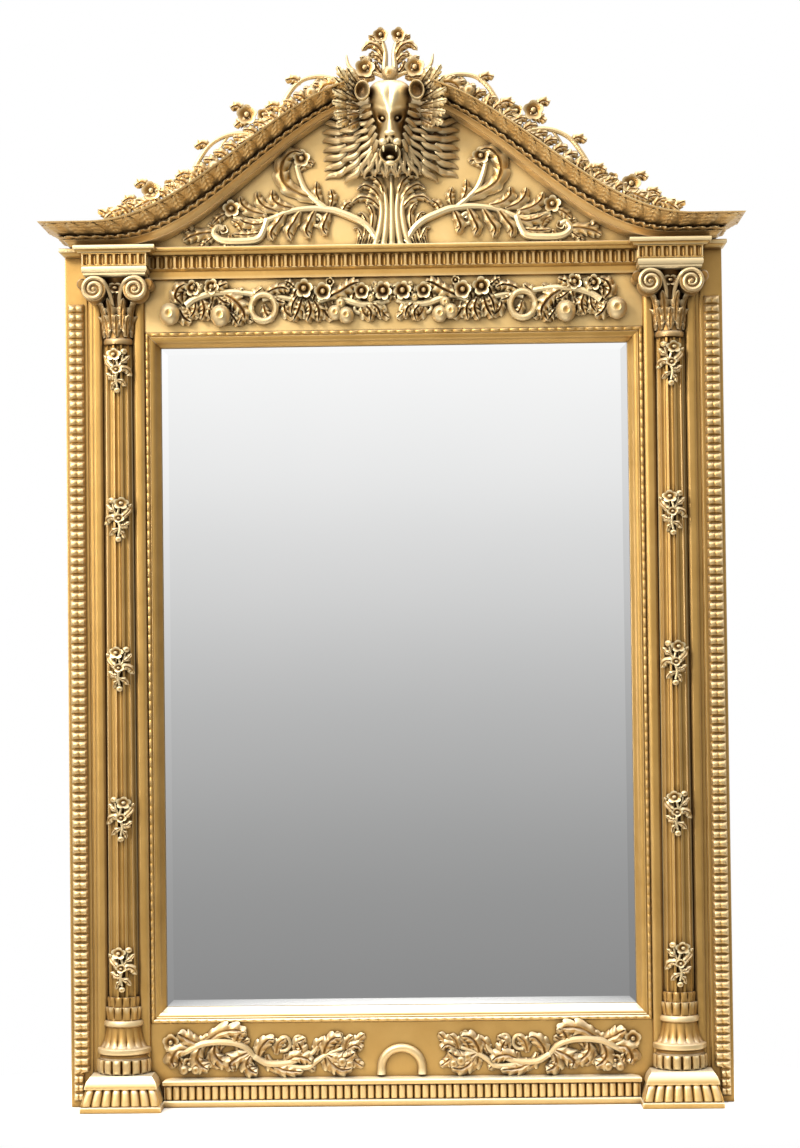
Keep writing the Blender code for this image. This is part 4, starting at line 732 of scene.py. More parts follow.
roll_out = np.array([0.0, 0.002, 0.020, 0.036, 0.050, 0.0545])[:, None]
roll_wide = np.array([0.008, 0.0105, 0.0085, 0.0105, 0.0105, 0.0080])[:, None]
rolled = roll_wide * np.cos(circle(20)), 1.640 + 1.1 * roll_wide * np.sin(circle(20)), roll_out
for hand in (-1, 1):
    corner_roll = rings_at(hand * 0.0655 + rolled[0], *rolled[1:]), "flat"
    capital += laid_on(before(SEAT, COLUMN_X), [*volute(hand), corner_roll])
abacus_levels = [*metres(((-6, -2), (-3, 1), (-3, 5), (-1, 6), (0, 9), (0, 14), (-1.2, 17.6))) + (0, ABACUS_Z)]
abacus_plan = facing(COLUMN_X - BLOCK_HALF, COLUMN_X + BLOCK_HALF, SEAT, BLOCK_FRONT)
capital.append(stack(abacus_plan, abacus_levels))
both_sides("capital", capital, CREST_GILDING, "capital")

# Sprigs: five small sprays of leaves, buds and an open flower, carved separately and glued up each shaft. The
# sway changes hand from one to the next.
SPRIG_HEIGHTS = (0.277, 0.5753, 0.8737, 1.1721, 1.4704)


def round_shaft(u, v, w):
    """Wraps across round the shaft as an angle, and adds out to the radius at that height."""
    return half_round(shaft_radius(v) + w, u / shaft_radius(v), v)


def sprig(z, hand):
    """Forms of one sprig about its middle height: a swaying stalk, leaves either side of it, a cupped flower
    and a bud above, and a bud that hangs below."""

    def set_out(*places):
        return [(hand * u / 1000, z + v / 1000) for u, v in places]

    flower, low_flower, low_bud, high_bud = set_out((5, 31), (1, 1), (0, -41), (-12, 37))
    return [
        stem(set_out((0, -34), (3, -16), (-2, 4), (3, 26)), [0.0022, 0.0030, 0.0026, 0.0022]),
        stem(set_out((-1, 4), (-8, 16), (-11, 30)), [0.0018, 0.0020, 0.0016]),
        leaf(set_out((1, -4), (-12, 3), (-22, -3), (-25, -12)), 0.0085, 0.0085, 3),
        leaf(set_out((2, 0), (12, 8), (21, 20), (22, 30)), 0.0080, 0.0080, 3, curl=0.7),
        leaf(set_out((1, -14), (11, -14), (20, -6)), 0.0070, 0.0075, 3),
        leaf(set_out((1, -20), (-9, -24), (-15, -33)), 0.0062, 0.0070, 2, curl=0.6),
        leaf(set_out((-6, 14), (-16, 20), (-22, 29)), 0.0060, 0.0070, 2),
        leaf(set_out((2, -24), (8, -30), (10, -40)), 0.0052, 0.0065, 2),
        blossom(*flower, 0.0125, 0.0125, turn=0.4, lift=0.001),
        berry(*low_bud, 0.0058, tall=0.9, around=12),
        berry(*high_bud, 0.0062, around=12),
        blossom(*low_flower, 0.0090, 0.0115, petals=4, turn=0.2, lift=0.001),
    ]


for i, height in enumerate(SPRIG_HEIGHTS, start=1):
    forms = laid_on(round_shaft, sprig(height, 1 if i % 2 else -1))
    both_sides(f"shaft_sprig_{i}", forms, CARVED_GILDING, f"column_sprig_{i}")

# Lower frieze: on each side a flowering acanthus scroll, carved in the round nearly down to the rail, and
# between the two a raised half-round arch.


def leaves(rows, curl=0.5):
    """Leaves from rows in millimetres: half width, height, lobes, then the places along the route."""
    return [leaf(metres(row[3:]), row[0] / 1000, row[1] / 1000, row[2], curl) for row in rows]


def carving(stem_rows, leaf_rows, blossom_rows, berry_rows=()):
    """Stems, leaves, flowers and round fruit from rows in millimetres. A stem is its radii, then the places
    along its route. A flower is its place, radius and height, then its petals, turn and lift. A fruit is its
    place, radius and lift."""
    forms = [stem(metres(route), np.array(radii) / 1000) for radii, route in stem_rows] + leaves(leaf_rows)
    for u, v, radius, height, petals, turn, lift in blossom_rows:
        forms.append(blossom(u / 1000, v / 1000, radius / 1000, height / 1000, petals, turn, lift / 1000))
    return forms + [berry(*(np.array(row) / 1000)) for row in berry_rows]


lower_scroll_stems = (
    ((4.35, 7.25, 7.97, 7.25, 5.8), (452, 96, 430, 108, 396, 124, 350, 127, 316, 118, 292, 96)),
    ((7.25, 7.25, 5.8, 4.35), (294, 98, 268, 84, 232, 84, 204, 92, 178, 104, 168, 118)),
    ((5.8, 6.52, 5.8, 4.35), (250, 86, 214, 76, 186, 76, 170, 88, 150, 100, 118, 112)),
)
lower_scroll_leaves = (
    (19.0, 14.4, 3, 400, 122, 424, 132, 446, 146),
    (19.0, 14.4, 4, 392, 126, 360, 146, 330, 150, 308, 146),
    (19.0, 15.8, 4, 420, 112, 446, 110, 458, 92, 452, 78),
    (19.0, 15.8, 4, 400, 118, 408, 96, 398, 80, 384, 74),
    (15.9, 14.4, 4, 372, 122, 372, 102, 356, 86, 344, 82),
    (15.9, 14.4, 3, 330, 120, 326, 136, 312, 150),
    (19.0, 17.2, 4, 304, 106, 326, 96, 342, 84, 338, 72),
    (17.4, 15.8, 4, 300, 100, 308, 84, 300, 70, 286, 66),
    (14.3, 12.9, 3, 286, 92, 282, 112, 266, 130, 252, 132),
    (17.4, 14.4, 4, 232, 86, 212, 96, 192, 94, 178, 86),
    (15.9, 12.9, 4, 258, 84, 240, 72, 218, 68, 196, 68),
    (14.3, 12.9, 3, 204, 92, 200, 110, 206, 126),
    (17.4, 15.8, 4, 150, 100, 128, 92, 108, 94, 92, 106),
    (15.9, 14.4, 4, 156, 98, 150, 118, 136, 132, 118, 136),
    (15.9, 14.4, 4, 148, 98, 136, 80, 118, 70, 98, 74),
    (12.7, 11.5, 3, 110, 110, 92, 118, 78, 110),
)
lower_scroll_blossoms = (
    (460, 127, 17.25, 13.8, 5, 0.3, 0), (424, 84, 13.8, 13.8, 5, 0.9, 0), (306, 78, 13.22, 13.8, 5, 0.2, 0),
    (102, 100, 12.07, 13.8, 5, 0.5, 0), (126, 136, 10.92, 12.65, 5, 0.1, 0),
)
lower_scroll_berries = (
    (118, 86, 10.92, 0), (104, 80, 9.77, 0), (131, 94, 9.2, 0), (434, 72, 9.77, 0), (410, 72, 9.77, 0),
)
scroll_ground = metres((446, 102, 380, 108, 300, 100, 220, 102, 140, 100, 90, 106))
lower_scroll = [
    *undergrowth(scroll_ground, 22, 0.042, 0.0125, 0.0085),
    *carving(lower_scroll_stems, lower_scroll_leaves, lower_scroll_blossoms, lower_scroll_berries),
    stem(curled(0.236, 0.124, 0.017, 1.2, -1.2, -1, 0.7), [0.004, 0.0035, 0.0025]),
    stem(curled(0.204, 0.128, 0.014, 1.1, -2.0, 1, 0.7), [0.0035, 0.003, 0.0022]),
]
on_rail = before(CARCASS_DEPTH)
both_sides("frieze_scroll", laid_on(on_rail, lower_scroll), CREST_GILDING, "lower_frieze_scroll")

LOW_ARCH_HALF, LOW_ARCH_RISE = 0.0405, 0.0385
LOW_ARCH_FOOT, LOW_ARCH_SPRING = 0.0600, 0.0735
arch_angle = np.linspace(0, math.pi, 41)
arch_up = LOW_ARCH_SPRING + LOW_ARCH_RISE * np.sin(arch_angle)
arch_bow = np.column_stack((LOW_ARCH_HALF * np.cos(arch_angle), arch_up))
arch_points = np.concatenate(([(LOW_ARCH_HALF, LOW_ARCH_FOOT)], arch_bow, [(-LOW_ARCH_HALF, LOW_ARCH_FOOT)]))
arch_band = stem(arch_points, [0.0085] * 5, sink=0.5, count=90, around=12)
piece("frieze_arch", laid_on(on_rail, [arch_band]), CARVED_GILDING, ["lower_frieze_arch"])

# Garland: on each side of the upper frieze, a stem of fruit, flowers and leaves drawn through a ribbon ring.
# It is carved nearly in the round and pinned to the rail, so that it throws deep shadows.
GARLAND_MIDDLE = 1.602


def on_frieze(u, v, w):
    """On the rail, stretched to fill the frieze's height and to stand further off it."""
    return on_rail(u, GARLAND_MIDDLE + 1.09 * (v - GARLAND_MIDDLE), 1.25 * w)


def hoop(u, v, radius, band, lift=0.0):
    """Ring of ribbon: a round tube that closes on itself, a little flattened from front to back."""
    turn = np.linspace(0, 2 * np.pi, 37)[:, None]
    out = radius + band * np.cos(circle(10))
    w = lift + band * (0.9 + 0.9 * np.sin(circle(10)))
    return rings_at(u + out * np.cos(turn), v + out * np.sin(turn), w), "point"


garland_stems = (
    ((8.1, 7.43, 6.75, 5.4), (416, 1600, 398, 1612, 364, 1622, 318, 1624, 280, 1620)),
    ((5.4, 5.4, 5.4), (262, 1610, 236, 1614, 206, 1610, 170, 1600)),
    ((5.4, 6.75, 6.75, 5.4), (150, 1604, 116, 1614, 92, 1606, 62, 1598, 30, 1600, 8, 1606)),
)
garland_leaves = (
    (13, 16.8, 3, 430, 1596, 420, 1578, 404, 1568),
    (14.3, 16.8, 4, 424, 1602, 436, 1616, 430, 1632, 414, 1640),
    (11.7, 16.8, 3, 400, 1612, 392, 1628, 398, 1642),
    (14.3, 16.8, 4, 384, 1612, 378, 1592, 384, 1572),
    (10.4, 14.4, 3, 396, 1608, 398, 1590, 408, 1576),
    (13, 16.8, 4, 372, 1620, 352, 1632, 330, 1640),
    (18.2, 19.2, 5, 338, 1620, 318, 1608, 300, 1588, 296, 1570),
    (11.7, 14.4, 3, 352, 1616, 340, 1606, 326, 1602),
    (11.7, 15.6, 3, 362, 1606, 368, 1590, 366, 1574),
    (10.4, 14.4, 3, 328, 1586, 318, 1574, 310, 1562),
    (11.7, 16.8, 3, 284, 1588, 300, 1578, 310, 1562),
    (9.1, 14.4, 3, 288, 1596, 306, 1592, 318, 1584),
    (11.7, 16.8, 4, 256, 1620, 238, 1628, 220, 1630, 206, 1624),
    (10.4, 14.4, 3, 244, 1618, 232, 1606, 216, 1602),
    (11.7, 16.8, 3, 190, 1616, 200, 1600, 204, 1580),
    (14.3, 18, 4, 182, 1610, 188, 1590, 200, 1568),
    (14.3, 18, 4, 170, 1608, 164, 1588, 172, 1566),
    (13, 16.8, 4, 158, 1606, 148, 1588, 150, 1566),
    (9.1, 14.4, 3, 194, 1628, 206, 1638, 216, 1642),
    (15.6, 19.2, 5, 134, 1610, 104, 1622, 82, 1634, 66, 1638),
    (11.7, 16.8, 3, 58, 1598, 44, 1584, 46, 1566),
    (11.7, 16.8, 3, 46, 1600, 30, 1590, 24, 1572),
    (10.4, 15.6, 3, 40, 1606, 34, 1624, 40, 1638),
)
garland_blossoms = (
    (402, 1632, 15.68, 19.8, 5, 0.2, 2), (364, 1634, 15.68, 19.8, 5, 0.8, 2),
    (178, 1628, 18.48, 22, 5, 0.4, 3), (140, 1622, 17.92, 22, 5, 0.1, 3),
    (126, 1640, 8.96, 15.4, 5, 0.6, 2), (62, 1622, 16.24, 20.9, 5, 0.3, 3),
    (19.5, 1622, 18.48, 23.1, 6, 0.2, 3),
)
garland_berries = (
    (448, 1584, 21, 2), (346, 1580, 20.48, 2), (116, 1583, 14.7, 2), (94, 1578, 15.75, 2),
    (105, 1600, 10.5, 3), (36, 1634, 7.35, 3), (44, 1610, 7.88, 4),
)
garland_ground = metres((446, 1598, 400, 1608, 300, 1600, 200, 1604, 100, 1600, 10, 1602))
garland = [
    *undergrowth(garland_ground, 26, 0.040, 0.0120, 0.0105),
    *carving(garland_stems, garland_leaves, garland_blossoms, garland_berries),
    hoop(0.260, 1.594, 0.0245, 0.0062, 0.004),
    stem(curled(0.070, 1.592, 0.0130, 1.3, 1.0, 1, 0.75), [0.0045, 0.004, 0.003]),
    stem(curled(0.026, 1.586, 0.0140, 1.3, 0.6, 1, 0.75), [0.0045, 0.004, 0.003]),
]
both_sides("fruit_garland", laid_on(on_frieze, garland), CARVED_GILDING, "frieze_garland")

# Entablature: over the garland a plain fascia and a fluted band, over each capital a fluted block that stands
# forward, and on them the moulded shelf, mitred round every break, that carries the pediment.
FASCIA_Z, FLUTE_Z, SHELF_Z = 1.652, 1.674, 1.700
FLUTE_PITCH = 0.0165
FASCIA_HALF = 0.4875

fascia_levels = metres((
    (0, 0), (3, 0.5), (10, 2), (10, 16.5), (11, 17), (15, 19), (17, 21.5), (18, 22), (18, 23.2), (18, 24.5),
    (18, 27), (18, 42), (18, 44.5), (18, 46), (18, 47.6),
))
fascia_plan = facing(-FASCIA_HALF, FASCIA_HALF, CARCASS_DEPTH - 0.0005, CARCASS_DEPTH)
fascia_flutes = flutes(FLUTE_Z + 0.0005, FLUTE_Z + 0.0245, 0.0075)
fascia_repeats = (0, round(2 * FASCIA_HALF / FLUTE_PITCH), 0)
fascia = stack(fascia_plan, fascia_levels + (0, FASCIA_Z), fascia_repeats, fascia_flutes)
piece("fluted_band", [fascia], GILDING, ["fluted_frieze_band"])

block_levels = metres((
    (0, 0.4), (0, 2), (-1, 2.2), (-1, 3.5), (-1, 6), (-1, 20), (-1, 22.5), (-1, 24), (0, 24.2), (0, 25.6),
))
block_flutes = flutes(FLUTE_Z + 0.0022, FLUTE_Z + 0.0242, 0.0070)
block = stack(abacus_plan, block_levels + (0, FLUTE_Z), (4, 8, 4), block_flutes)
both_sides("fluted_block", [block], GILDING, "entablature_block")

shelf_plan = [(0.660, 0.0), (0.660, 0.073), (0.626, 0.073), (0.626, 0.116), (0.480, 0.116), (0.480, 0.073)]
shelf_plan += [(-x, depth) for x, depth in reversed(shelf_plan)]
shelf_levels = metres((
    (-2, 0.4), (-0.5, 1), (0.5, 3), (3, 5.5), (5.5, 6.8), (7, 7.2), (8, 8.5), (8, 14), (7, 15.4),
))
shelf = stack(shelf_plan, shelf_levels + (0, SHELF_Z))
piece("moulded_shelf", [shelf], PALE_GILDING, ["cornice_shelf"])

# Raking cornices: one long moulding on each side, bent over the ogee arch, levelled out at its end and
# returned to the wall. It has a cove, a twisted rope and a wide outer band carved with leaves.
RAKE_FOOT, ARCH_RISE, ARCH_SPAN = 1.7163, 0.289, 0.540
CORNICE_TOP, RAKE_RISE, RAKE_SPAN = 1.758, 0.284, 0.600
CREST_HALF = 0.0883
TYMPANUM_FACE = 0.0523
PROJECTION = 0.110
CORNICE_END, CORNICE_SIDE = 0.6203, 0.6990
LEVEL_RUN, RETURN_RUN = 0.085, 0.120

# Pairs along the moulding's profile: share of the way up its face, and share of its projection.
RAKE_PROFILE = np.reshape((
    0, 0.15, 0.03, 0.30, 0.07, 0.36, 0.085, 0.335, 0.14, 0.35, 0.24, 0.40, 0.31, 0.47, 0.315, 0.43, 0.50, 0.46,
    0.505, 0.49, 0.56, 0.54, 0.66, 0.65, 0.78, 0.78, 0.90, 0.90, 0.935, 0.91, 0.94, 0.975, 1, 1,
), (-1, 2))


def ogee(x, span, low, rise):
    """Height of an arch: half a cosine wave from its rise in the middle down to level at its span."""
    return low + rise * (1 + np.cos(np.pi * np.minimum(np.abs(x) / span, 1))) / 2


def rake_push(share, along):
    """How far the moulding stands forward, as a share of its projection, at a share of the way up its face and
    a distance along it. The rope is a half round with a slanting sine wave. Each leaf of the outer band is an
    arch inside a leaf-shaped outline, with a groove on its rib and slanting veins."""
    plain = np.interp(share, *RAKE_PROFILE.T)
    crown = 0.408 + 0.030 * np.sin(2 * np.pi * along / 0.023)
    rope = np.sqrt(np.clip(1 - ((share - crown) / 0.062) ** 2, 0, 1))
    twist = 0.140 + 0.020 * np.sin(2 * np.pi * (along / 0.0115 + 3.0 * share))
    up = np.clip((share - 0.515) / 0.410, 0, 1)
    side = np.abs((along / 0.036 + 0.25 * up) % 1.0 - 0.5) * 2
    outline = np.sin(np.pi * (0.10 + 0.86 * up)) ** 0.6 * (0.78 + 0.22 * np.abs(np.sin(3.5 * np.pi * up)))
    inside = np.clip(1 - side / outline, 0, 1)
    body = inside**0.45 - 0.32 * np.exp(-((side / 0.14) ** 2))
    veins = 0.22 * np.abs(np.sin(np.pi * (4.0 * up + 0.9 * side))) * (inside > 0)
    carved = 0.120 * (body - veins) * ((up > 0) & (up < 1))
    return plain + rope * twist + carved - 0.030 * ((up > 0) & (up < 1))


def raking_cornice():
    """Rings of the face's points at stations along it: over the arch each point lies between the arch's inner
    and outer edges, then the stations run level to the mitre, and from the mitre back to the wall."""
    shares = np.linspace(0, 0.31, 11), np.linspace(0.32, 0.50, 16), np.linspace(0.51, 1.0, 26)
    share = np.concatenate(shares)[None, :]
    t = np.linspace(0, 1, 340)[:, None]
    x_low, x_high = (CREST_HALF + (span - CREST_HALF) * t for span in (ARCH_SPAN, RAKE_SPAN))
    z_low = ogee(x_low, ARCH_SPAN, RAKE_FOOT, ARCH_RISE)
    z_high = ogee(x_high, RAKE_SPAN, CORNICE_TOP, RAKE_RISE)
    steps = np.hypot(np.diff(x_high, axis=0), np.diff(z_high, axis=0))
    along = np.concatenate(([[0.0]], np.cumsum(steps, axis=0)))
    push = rake_push(share, along)
    x = x_low + (x_high - x_low) * share
    z = z_low + (z_high - z_low) * share
    depth = TYMPANUM_FACE + PROJECTION * push
    run = np.linspace(0, 1, 26)[1:, None]
    level_push = rake_push(share, along[-1] + run * LEVEL_RUN)
    corner = CORNICE_END + (CORNICE_SIDE - CORNICE_END) * level_push
    level_x = x[-1:] + (corner - x[-1:]) * run
    level_z = RAKE_FOOT + (CORNICE_TOP - RAKE_FOOT) * share
    level_depth = TYMPANUM_FACE + PROJECTION * level_push
    back = np.linspace(0, 1, 30)[1:, None]
    side_push = rake_push(share, along[-1] + LEVEL_RUN + back * RETURN_RUN)
    side_x = CORNICE_END + (CORNICE_SIDE - CORNICE_END) * side_push
    side_depth = level_depth[-1:] * (1 - back) + 0.0006 * back
    x = np.concatenate((x, level_x, side_x))
    depth = np.concatenate((depth, level_depth, side_depth))
    z = np.concatenate((z, np.repeat(level_z, len(run) + len(back), axis=0)))
    hidden_x, top_x = (
        np.concatenate((x_edge, x_edge[-1] + (CORNICE_END - x_edge[-1]) * run, CORNICE_END + 0 * back))
        for x_edge in (x_low, x_high)
    )
    seat = TYMPANUM_FACE + np.concatenate((0 * t, 0 * run, (0.0006 - TYMPANUM_FACE) * back))
    x = np.concatenate((x, top_x, hidden_x), axis=1)
    depth = np.concatenate((depth, seat, seat), axis=1)
    z = np.concatenate((z, z[:, -1:], z[:, :1]), axis=1)
    return skin(from_wall(x, depth, z), ends="flat")


both_sides("leaf_cornice", [raking_cornice()], CORNICE_GILDING, "raking_cornice")

# Tympanum: a flat board behind the arch, with an acanthus scroll on each side that branches from a sheaf of
# upright strands in the middle. Scrolls and sheaf are carved separately and glued on.
dress("tympanum_board", PLAIN_GILDING)

tympanum_scroll_stems = (
    (
        (6.75, 8.1, 8.1, 6.75, 5.4),
        (28, 1722, 44, 1748, 62, 1764, 84, 1775, 112, 1786, 128, 1789, 160, 1792, 200, 1788, 236, 1776),
    ),
    ((6.75, 6.75, 6.08, 5.4), (128, 1788, 150, 1806, 172, 1828, 184, 1856, 190, 1880)),
    ((6.08, 6.08, 5.4, 4.05), (228, 1778, 258, 1768, 290, 1770, 318, 1778)),
    (
        (7.43, 8.1, 8.1, 6.75, 5.4),
        (250, 1772, 258, 1748, 270, 1732, 300, 1728, 340, 1730, 358, 1744, 350, 1758, 338, 1754),
    ),
)
tympanum_scroll_leaves = (
    (18.3, 15.6, 6, 150, 1808, 186, 1822, 212, 1840, 221, 1866, 214, 1892, 196, 1906, 176, 1902),
    (10.98, 12, 3, 186, 1868, 176, 1878, 164, 1884, 156, 1880),
    (10.98, 13.2, 3, 140, 1800, 150, 1822, 150, 1846),
    (10.98, 13.2, 3, 122, 1794, 118, 1812, 122, 1830),
    (14.64, 14.4, 4, 196, 1792, 222, 1798, 238, 1812, 238, 1830),
    (12.2, 13.2, 3, 228, 1786, 254, 1796, 268, 1812, 270, 1828),
    (13.42, 13.2, 4, 252, 1780, 282, 1788, 300, 1802, 304, 1818),
    (10.98, 12, 3, 330, 1784, 346, 1776, 360, 1762),
    (13.42, 14.4, 4, 246, 1770, 268, 1760, 292, 1764, 306, 1772),
    (10.98, 12, 4, 262, 1744, 290, 1740, 320, 1742),
    (14.64, 14.4, 4, 352, 1746, 380, 1744, 404, 1738, 420, 1728),
    (8.54, 10.8, 2, 356, 1740, 368, 1730, 376, 1724),
    (10.98, 13.2, 3, 100, 1780, 92, 1796, 80, 1804),
)
tympanum_scroll_blossoms = (
    (180, 1893, 18.15, 18.4, 5, 0.4, 0), (322, 1794, 18.15, 16.1, 5, 0.2, 0),
    (338, 1752, 9.35, 11.5, 4, 0.4, 0),
)
hanging_leaves = (
    (13.5, 16.8, 3, 214, 1784, 228, 1764, 242, 1744, 238, 1726),
    (13.5, 16.8, 3, 184, 1786, 196, 1764, 208, 1744, 202, 1726),
    (13.0, 16.8, 3, 154, 1788, 164, 1766, 172, 1746, 164, 1730),
    (12.5, 15.6, 3, 124, 1786, 132, 1768, 138, 1750, 130, 1736),
)
tympanum_ground = metres((250, 1760, 300, 1748, 350, 1740, 400, 1735))
tympanum_scroll = [
    *undergrowth(tympanum_ground, 7, 0.034, 0.0110, 0.0085),
    *carving(tympanum_scroll_stems, tympanum_scroll_leaves, tympanum_scroll_blossoms),
    *leaves(hanging_leaves, curl=0.7),
    stem(curled(0.151, 1.766, 0.013, 1.2, 1.2, 1, 0.7), [0.0045, 0.004, 0.003]),
]
on_board = before(TYMPANUM_FACE)
both_sides("board_scroll", laid_on(on_board, tympanum_scroll), CARVED_GILDING, "tympanum_scroll")

sheaf = []
for foot in np.linspace(-0.034, 0.034, 5):
    waist, head = foot * 0.62, foot * 1.05
    route = [(foot, 1.7165), (waist * 1.15, 1.752), (waist, 1.795), (head, 1.858 - abs(foot) * 0.55)]
    sheaf.append(stem(route, [0.0066, 0.0070, 0.0062, 0.0050, 0.0030], sink=0.1, count=26, around=10))
for hand in (-1, 1):
    for foot, top, reach, half_width in ((47.5, 1800, 52, 8.5), (60, 1782, 68, 8), (70, 1752, 78, 7)):
        route = foot, 1717, foot - 6, 1738, foot - 10, top - 22, foot - 2, top - 4, reach, top - 2
        sheaf.append(leaf(metres(route) * (hand, 1), half_width / 1000, 0.011))
    for route in (
        (18, 1796, 30, 1822, 52, 1836, 70, 1826),
        (20, 1786, 38, 1806, 62, 1812, 80, 1800),
        (12, 1810, 22, 1840, 40, 1856, 56, 1850),
    ):
        sheaf.append(leaf(metres(route) * (hand, 1), 0.0105, 0.013, curl=0.7))
    sheaf.append(berry(hand * 0.0095, 1.8590, 0.0072, 0.012))
piece("strand_sheaf", laid_on(on_board, sheaf), CARVED_GILDING, ["palmette"])

# Crest vines: flowering stems that spring in free arches over the top of each raking cornice, carved in the
# round from limewood and dowelled to its upper edge.
VINE_PLANE = 0.112


def whole(forms):
    """The same forms 3.5 mm further back, through their plane, so that they are full from both sides."""
    return [(rings - (0, 0, 0.0035), ends) for rings, ends in forms]


vine_stems = (
    (
        (5.12, 5.61, 4.88, 5.37, 4.39),
        (90, 2026, 103, 2038, 137, 2047, 170, 2042, 194, 2023, 214, 1990, 222, 1962),
    ),
    ((4.88, 4.88, 3.66), (226, 1958, 240, 1966, 262, 1958, 276, 1960, 283, 1972)),
    (
        (5.12, 5.61, 4.88, 5.37, 4.39),
        (262, 1926, 284, 1934, 322, 1933, 356, 1916, 379, 1887, 394, 1858, 402, 1830),
    ),
    ((4.64, 4.88, 3.66), (408, 1826, 430, 1836, 452, 1822, 470, 1820)),
    ((4.64, 4.88, 3.66), (470, 1800, 500, 1806, 530, 1794, 560, 1776)),
    ((3.17, 3.17, 2.44), (137, 2046, 150, 2034, 157, 2018)),
    ((3.17, 3.17, 2.44), (322, 1932, 340, 1906, 350, 1878)),
)
vine_leaves = (
    (17.55, 12, 4, 92, 2024, 112, 2030, 130, 2026, 142, 2010),
    (14.85, 12, 3, 120, 2010, 140, 2006, 160, 1992),
    (12.15, 10.8, 3, 176, 2034, 190, 2042, 208, 2040),
    (13.5, 12, 3, 204, 2004, 196, 1988, 200, 1972),
    (13.5, 12, 3, 216, 1984, 232, 1990, 248, 1984),
    (16.2, 12, 4, 226, 1962, 244, 1946, 262, 1942),
    (12.15, 10.8, 3, 280, 1960, 296, 1958, 310, 1948),
    (12.15, 10.8, 3, 290, 1980, 304, 1990, 318, 1986),
    (14.85, 12, 4, 268, 1932, 284, 1920, 304, 1912),
    (12.15, 10.8, 3, 360, 1910, 374, 1916, 390, 1908),
    (13.5, 12, 3, 384, 1876, 374, 1858, 378, 1842),
    (13.5, 12, 3, 396, 1852, 412, 1856, 428, 1848),
    (16.2, 12, 4, 404, 1832, 424, 1816, 446, 1808),
    (12.15, 10.8, 3, 482, 1834, 496, 1840, 510, 1832),
    (14.85, 12, 4, 474, 1806, 490, 1798, 510, 1788),
    (12.15, 10.8, 3, 506, 1804, 520, 1808, 536, 1800),
    (13.5, 12, 3, 530, 1788, 550, 1782, 570, 1768),
)
vine_blossoms = (
    (285, 1972, 21.28, 15.4, 5, 0.3, 0), (477, 1823, 20.16, 14.3, 5, 0.1, 0),
    (252, 1972, 13.44, 12.1, 5, 0.7, 0), (440, 1834, 12.88, 12.1, 5, 0.7, 0),
)
vine_berries = (
    (157, 2012, 12.65, 0), (143, 2016, 7.7, 0), (351, 1868, 13.2, 0), (338, 1876, 7.7, 0),
)
vine_across = np.linspace(0.104, 0.560, 12)
vine_ground = np.column_stack((vine_across, ogee(vine_across, RAKE_SPAN, CORNICE_TOP, RAKE_RISE) + 0.002))
vine = undergrowth(vine_ground, 24, 0.036, 0.0120, 0.0105, hands=(1,))
vine += carving(vine_stems, vine_leaves, vine_blossoms, vine_berries)
both_sides("flower_vine", laid_on(before(VINE_PLANE), whole(vine)), CREST_GILDING, "crest_vine")

# Crest spray: flowers on stalks over the mask, between two arching leaves, carved in the round.
SPRAY_PLANE = 0.074

half_spray_stems = (
    ((7.2, 6.6, 5.4, 4.2), (6, 2046, 10, 2070, 9, 2100, 16, 2130)),
    ((5.04, 4.8, 4.2), (8, 2050, 24, 2058, 40, 2062, 50, 2068)),
    ((4.8, 4.32, 3.6, 1.68), (56, 2060, 70, 2064, 83, 2078, 87, 2098)),
)
half_spray_leaves = (
    (9, 8.8, 3, 12, 2118, 28, 2128, 42, 2136),
    (9, 8.8, 3, 8, 2108, 18, 2118, 30, 2119),
    (10, 9.9, 3, 36, 2060, 44, 2084, 60, 2092),
    (10, 9.9, 3, 60, 2050, 76, 2062, 96, 2064),
    (11.4, 11, 4, 10, 2088, 22, 2110, 40, 2118, 56, 2104),
    (9, 9.9, 3, 10, 2076, 24, 2092, 38, 2096),
    (10.8, 11, 4, 30, 2052, 52, 2050, 76, 2054),
    (12, 11, 4, 44, 2046, 64, 2040, 86, 2034),
    (8.4, 9.9, 3, 14, 2056, 26, 2070, 30, 2084),
)
half_spray_blossoms = (
    (18.0, 2136.5, 15.75, 13.65, 5, 0.3, 0), (50, 2070, 21, 16.8, 5, 0.5, 0), (34, 2096, 9, 10, 5, 0.2, 0),
)
in_spray = before(SPRAY_PLANE)
spray = laid_on(in_spray, whole(carving(half_spray_stems, half_spray_leaves, half_spray_blossoms)))
middle_fruit = laid_on(in_spray, whole([berry(0.0, 2.056, 0.0165, 0.002)]))
piece("flower_spray", [*spray, *mirrored(spray), *middle_fruit], CREST_GILDING, ["crest_spray"])

# Mask: a snarling beast's head on a ruff of long locks, the largest block of carving on the frame. Head, ears
# and jaw are cut in the round from it, the locks in overlapping rows behind them.
RUFF_HEIGHT = 1.940
HEAD_BACK = 0.088

# Levels of the head in millimetres: height, half width, cheek's depth, bridge's depth, bridge's half width.
HEAD_LEVELS = (
    (2037, 18, 112, 116, 36),
    (2033, 31, 128, 132, 36),
    (2023, 40.5, 139, 146, 35),
    (2008, 44, 142, 152, 32),
    (1994, 41.5, 141, 155, 26),
    (1980, 37.5, 138, 157, 18),
    (1968, 33.5, 134, 158, 11.5),
    (1958, 30, 131, 160, 9.2),
    (1946, 27, 130, 164, 10.2),
    (1934, 25.5, 132, 169, 12.8),
    (1923, 25.5, 136, 173, 15.5),
    (1912, 25, 138, 169, 17),
    (1904, 21.5, 134, 162, 16.5),
    (1900, 13, 122, 146, 12),
)


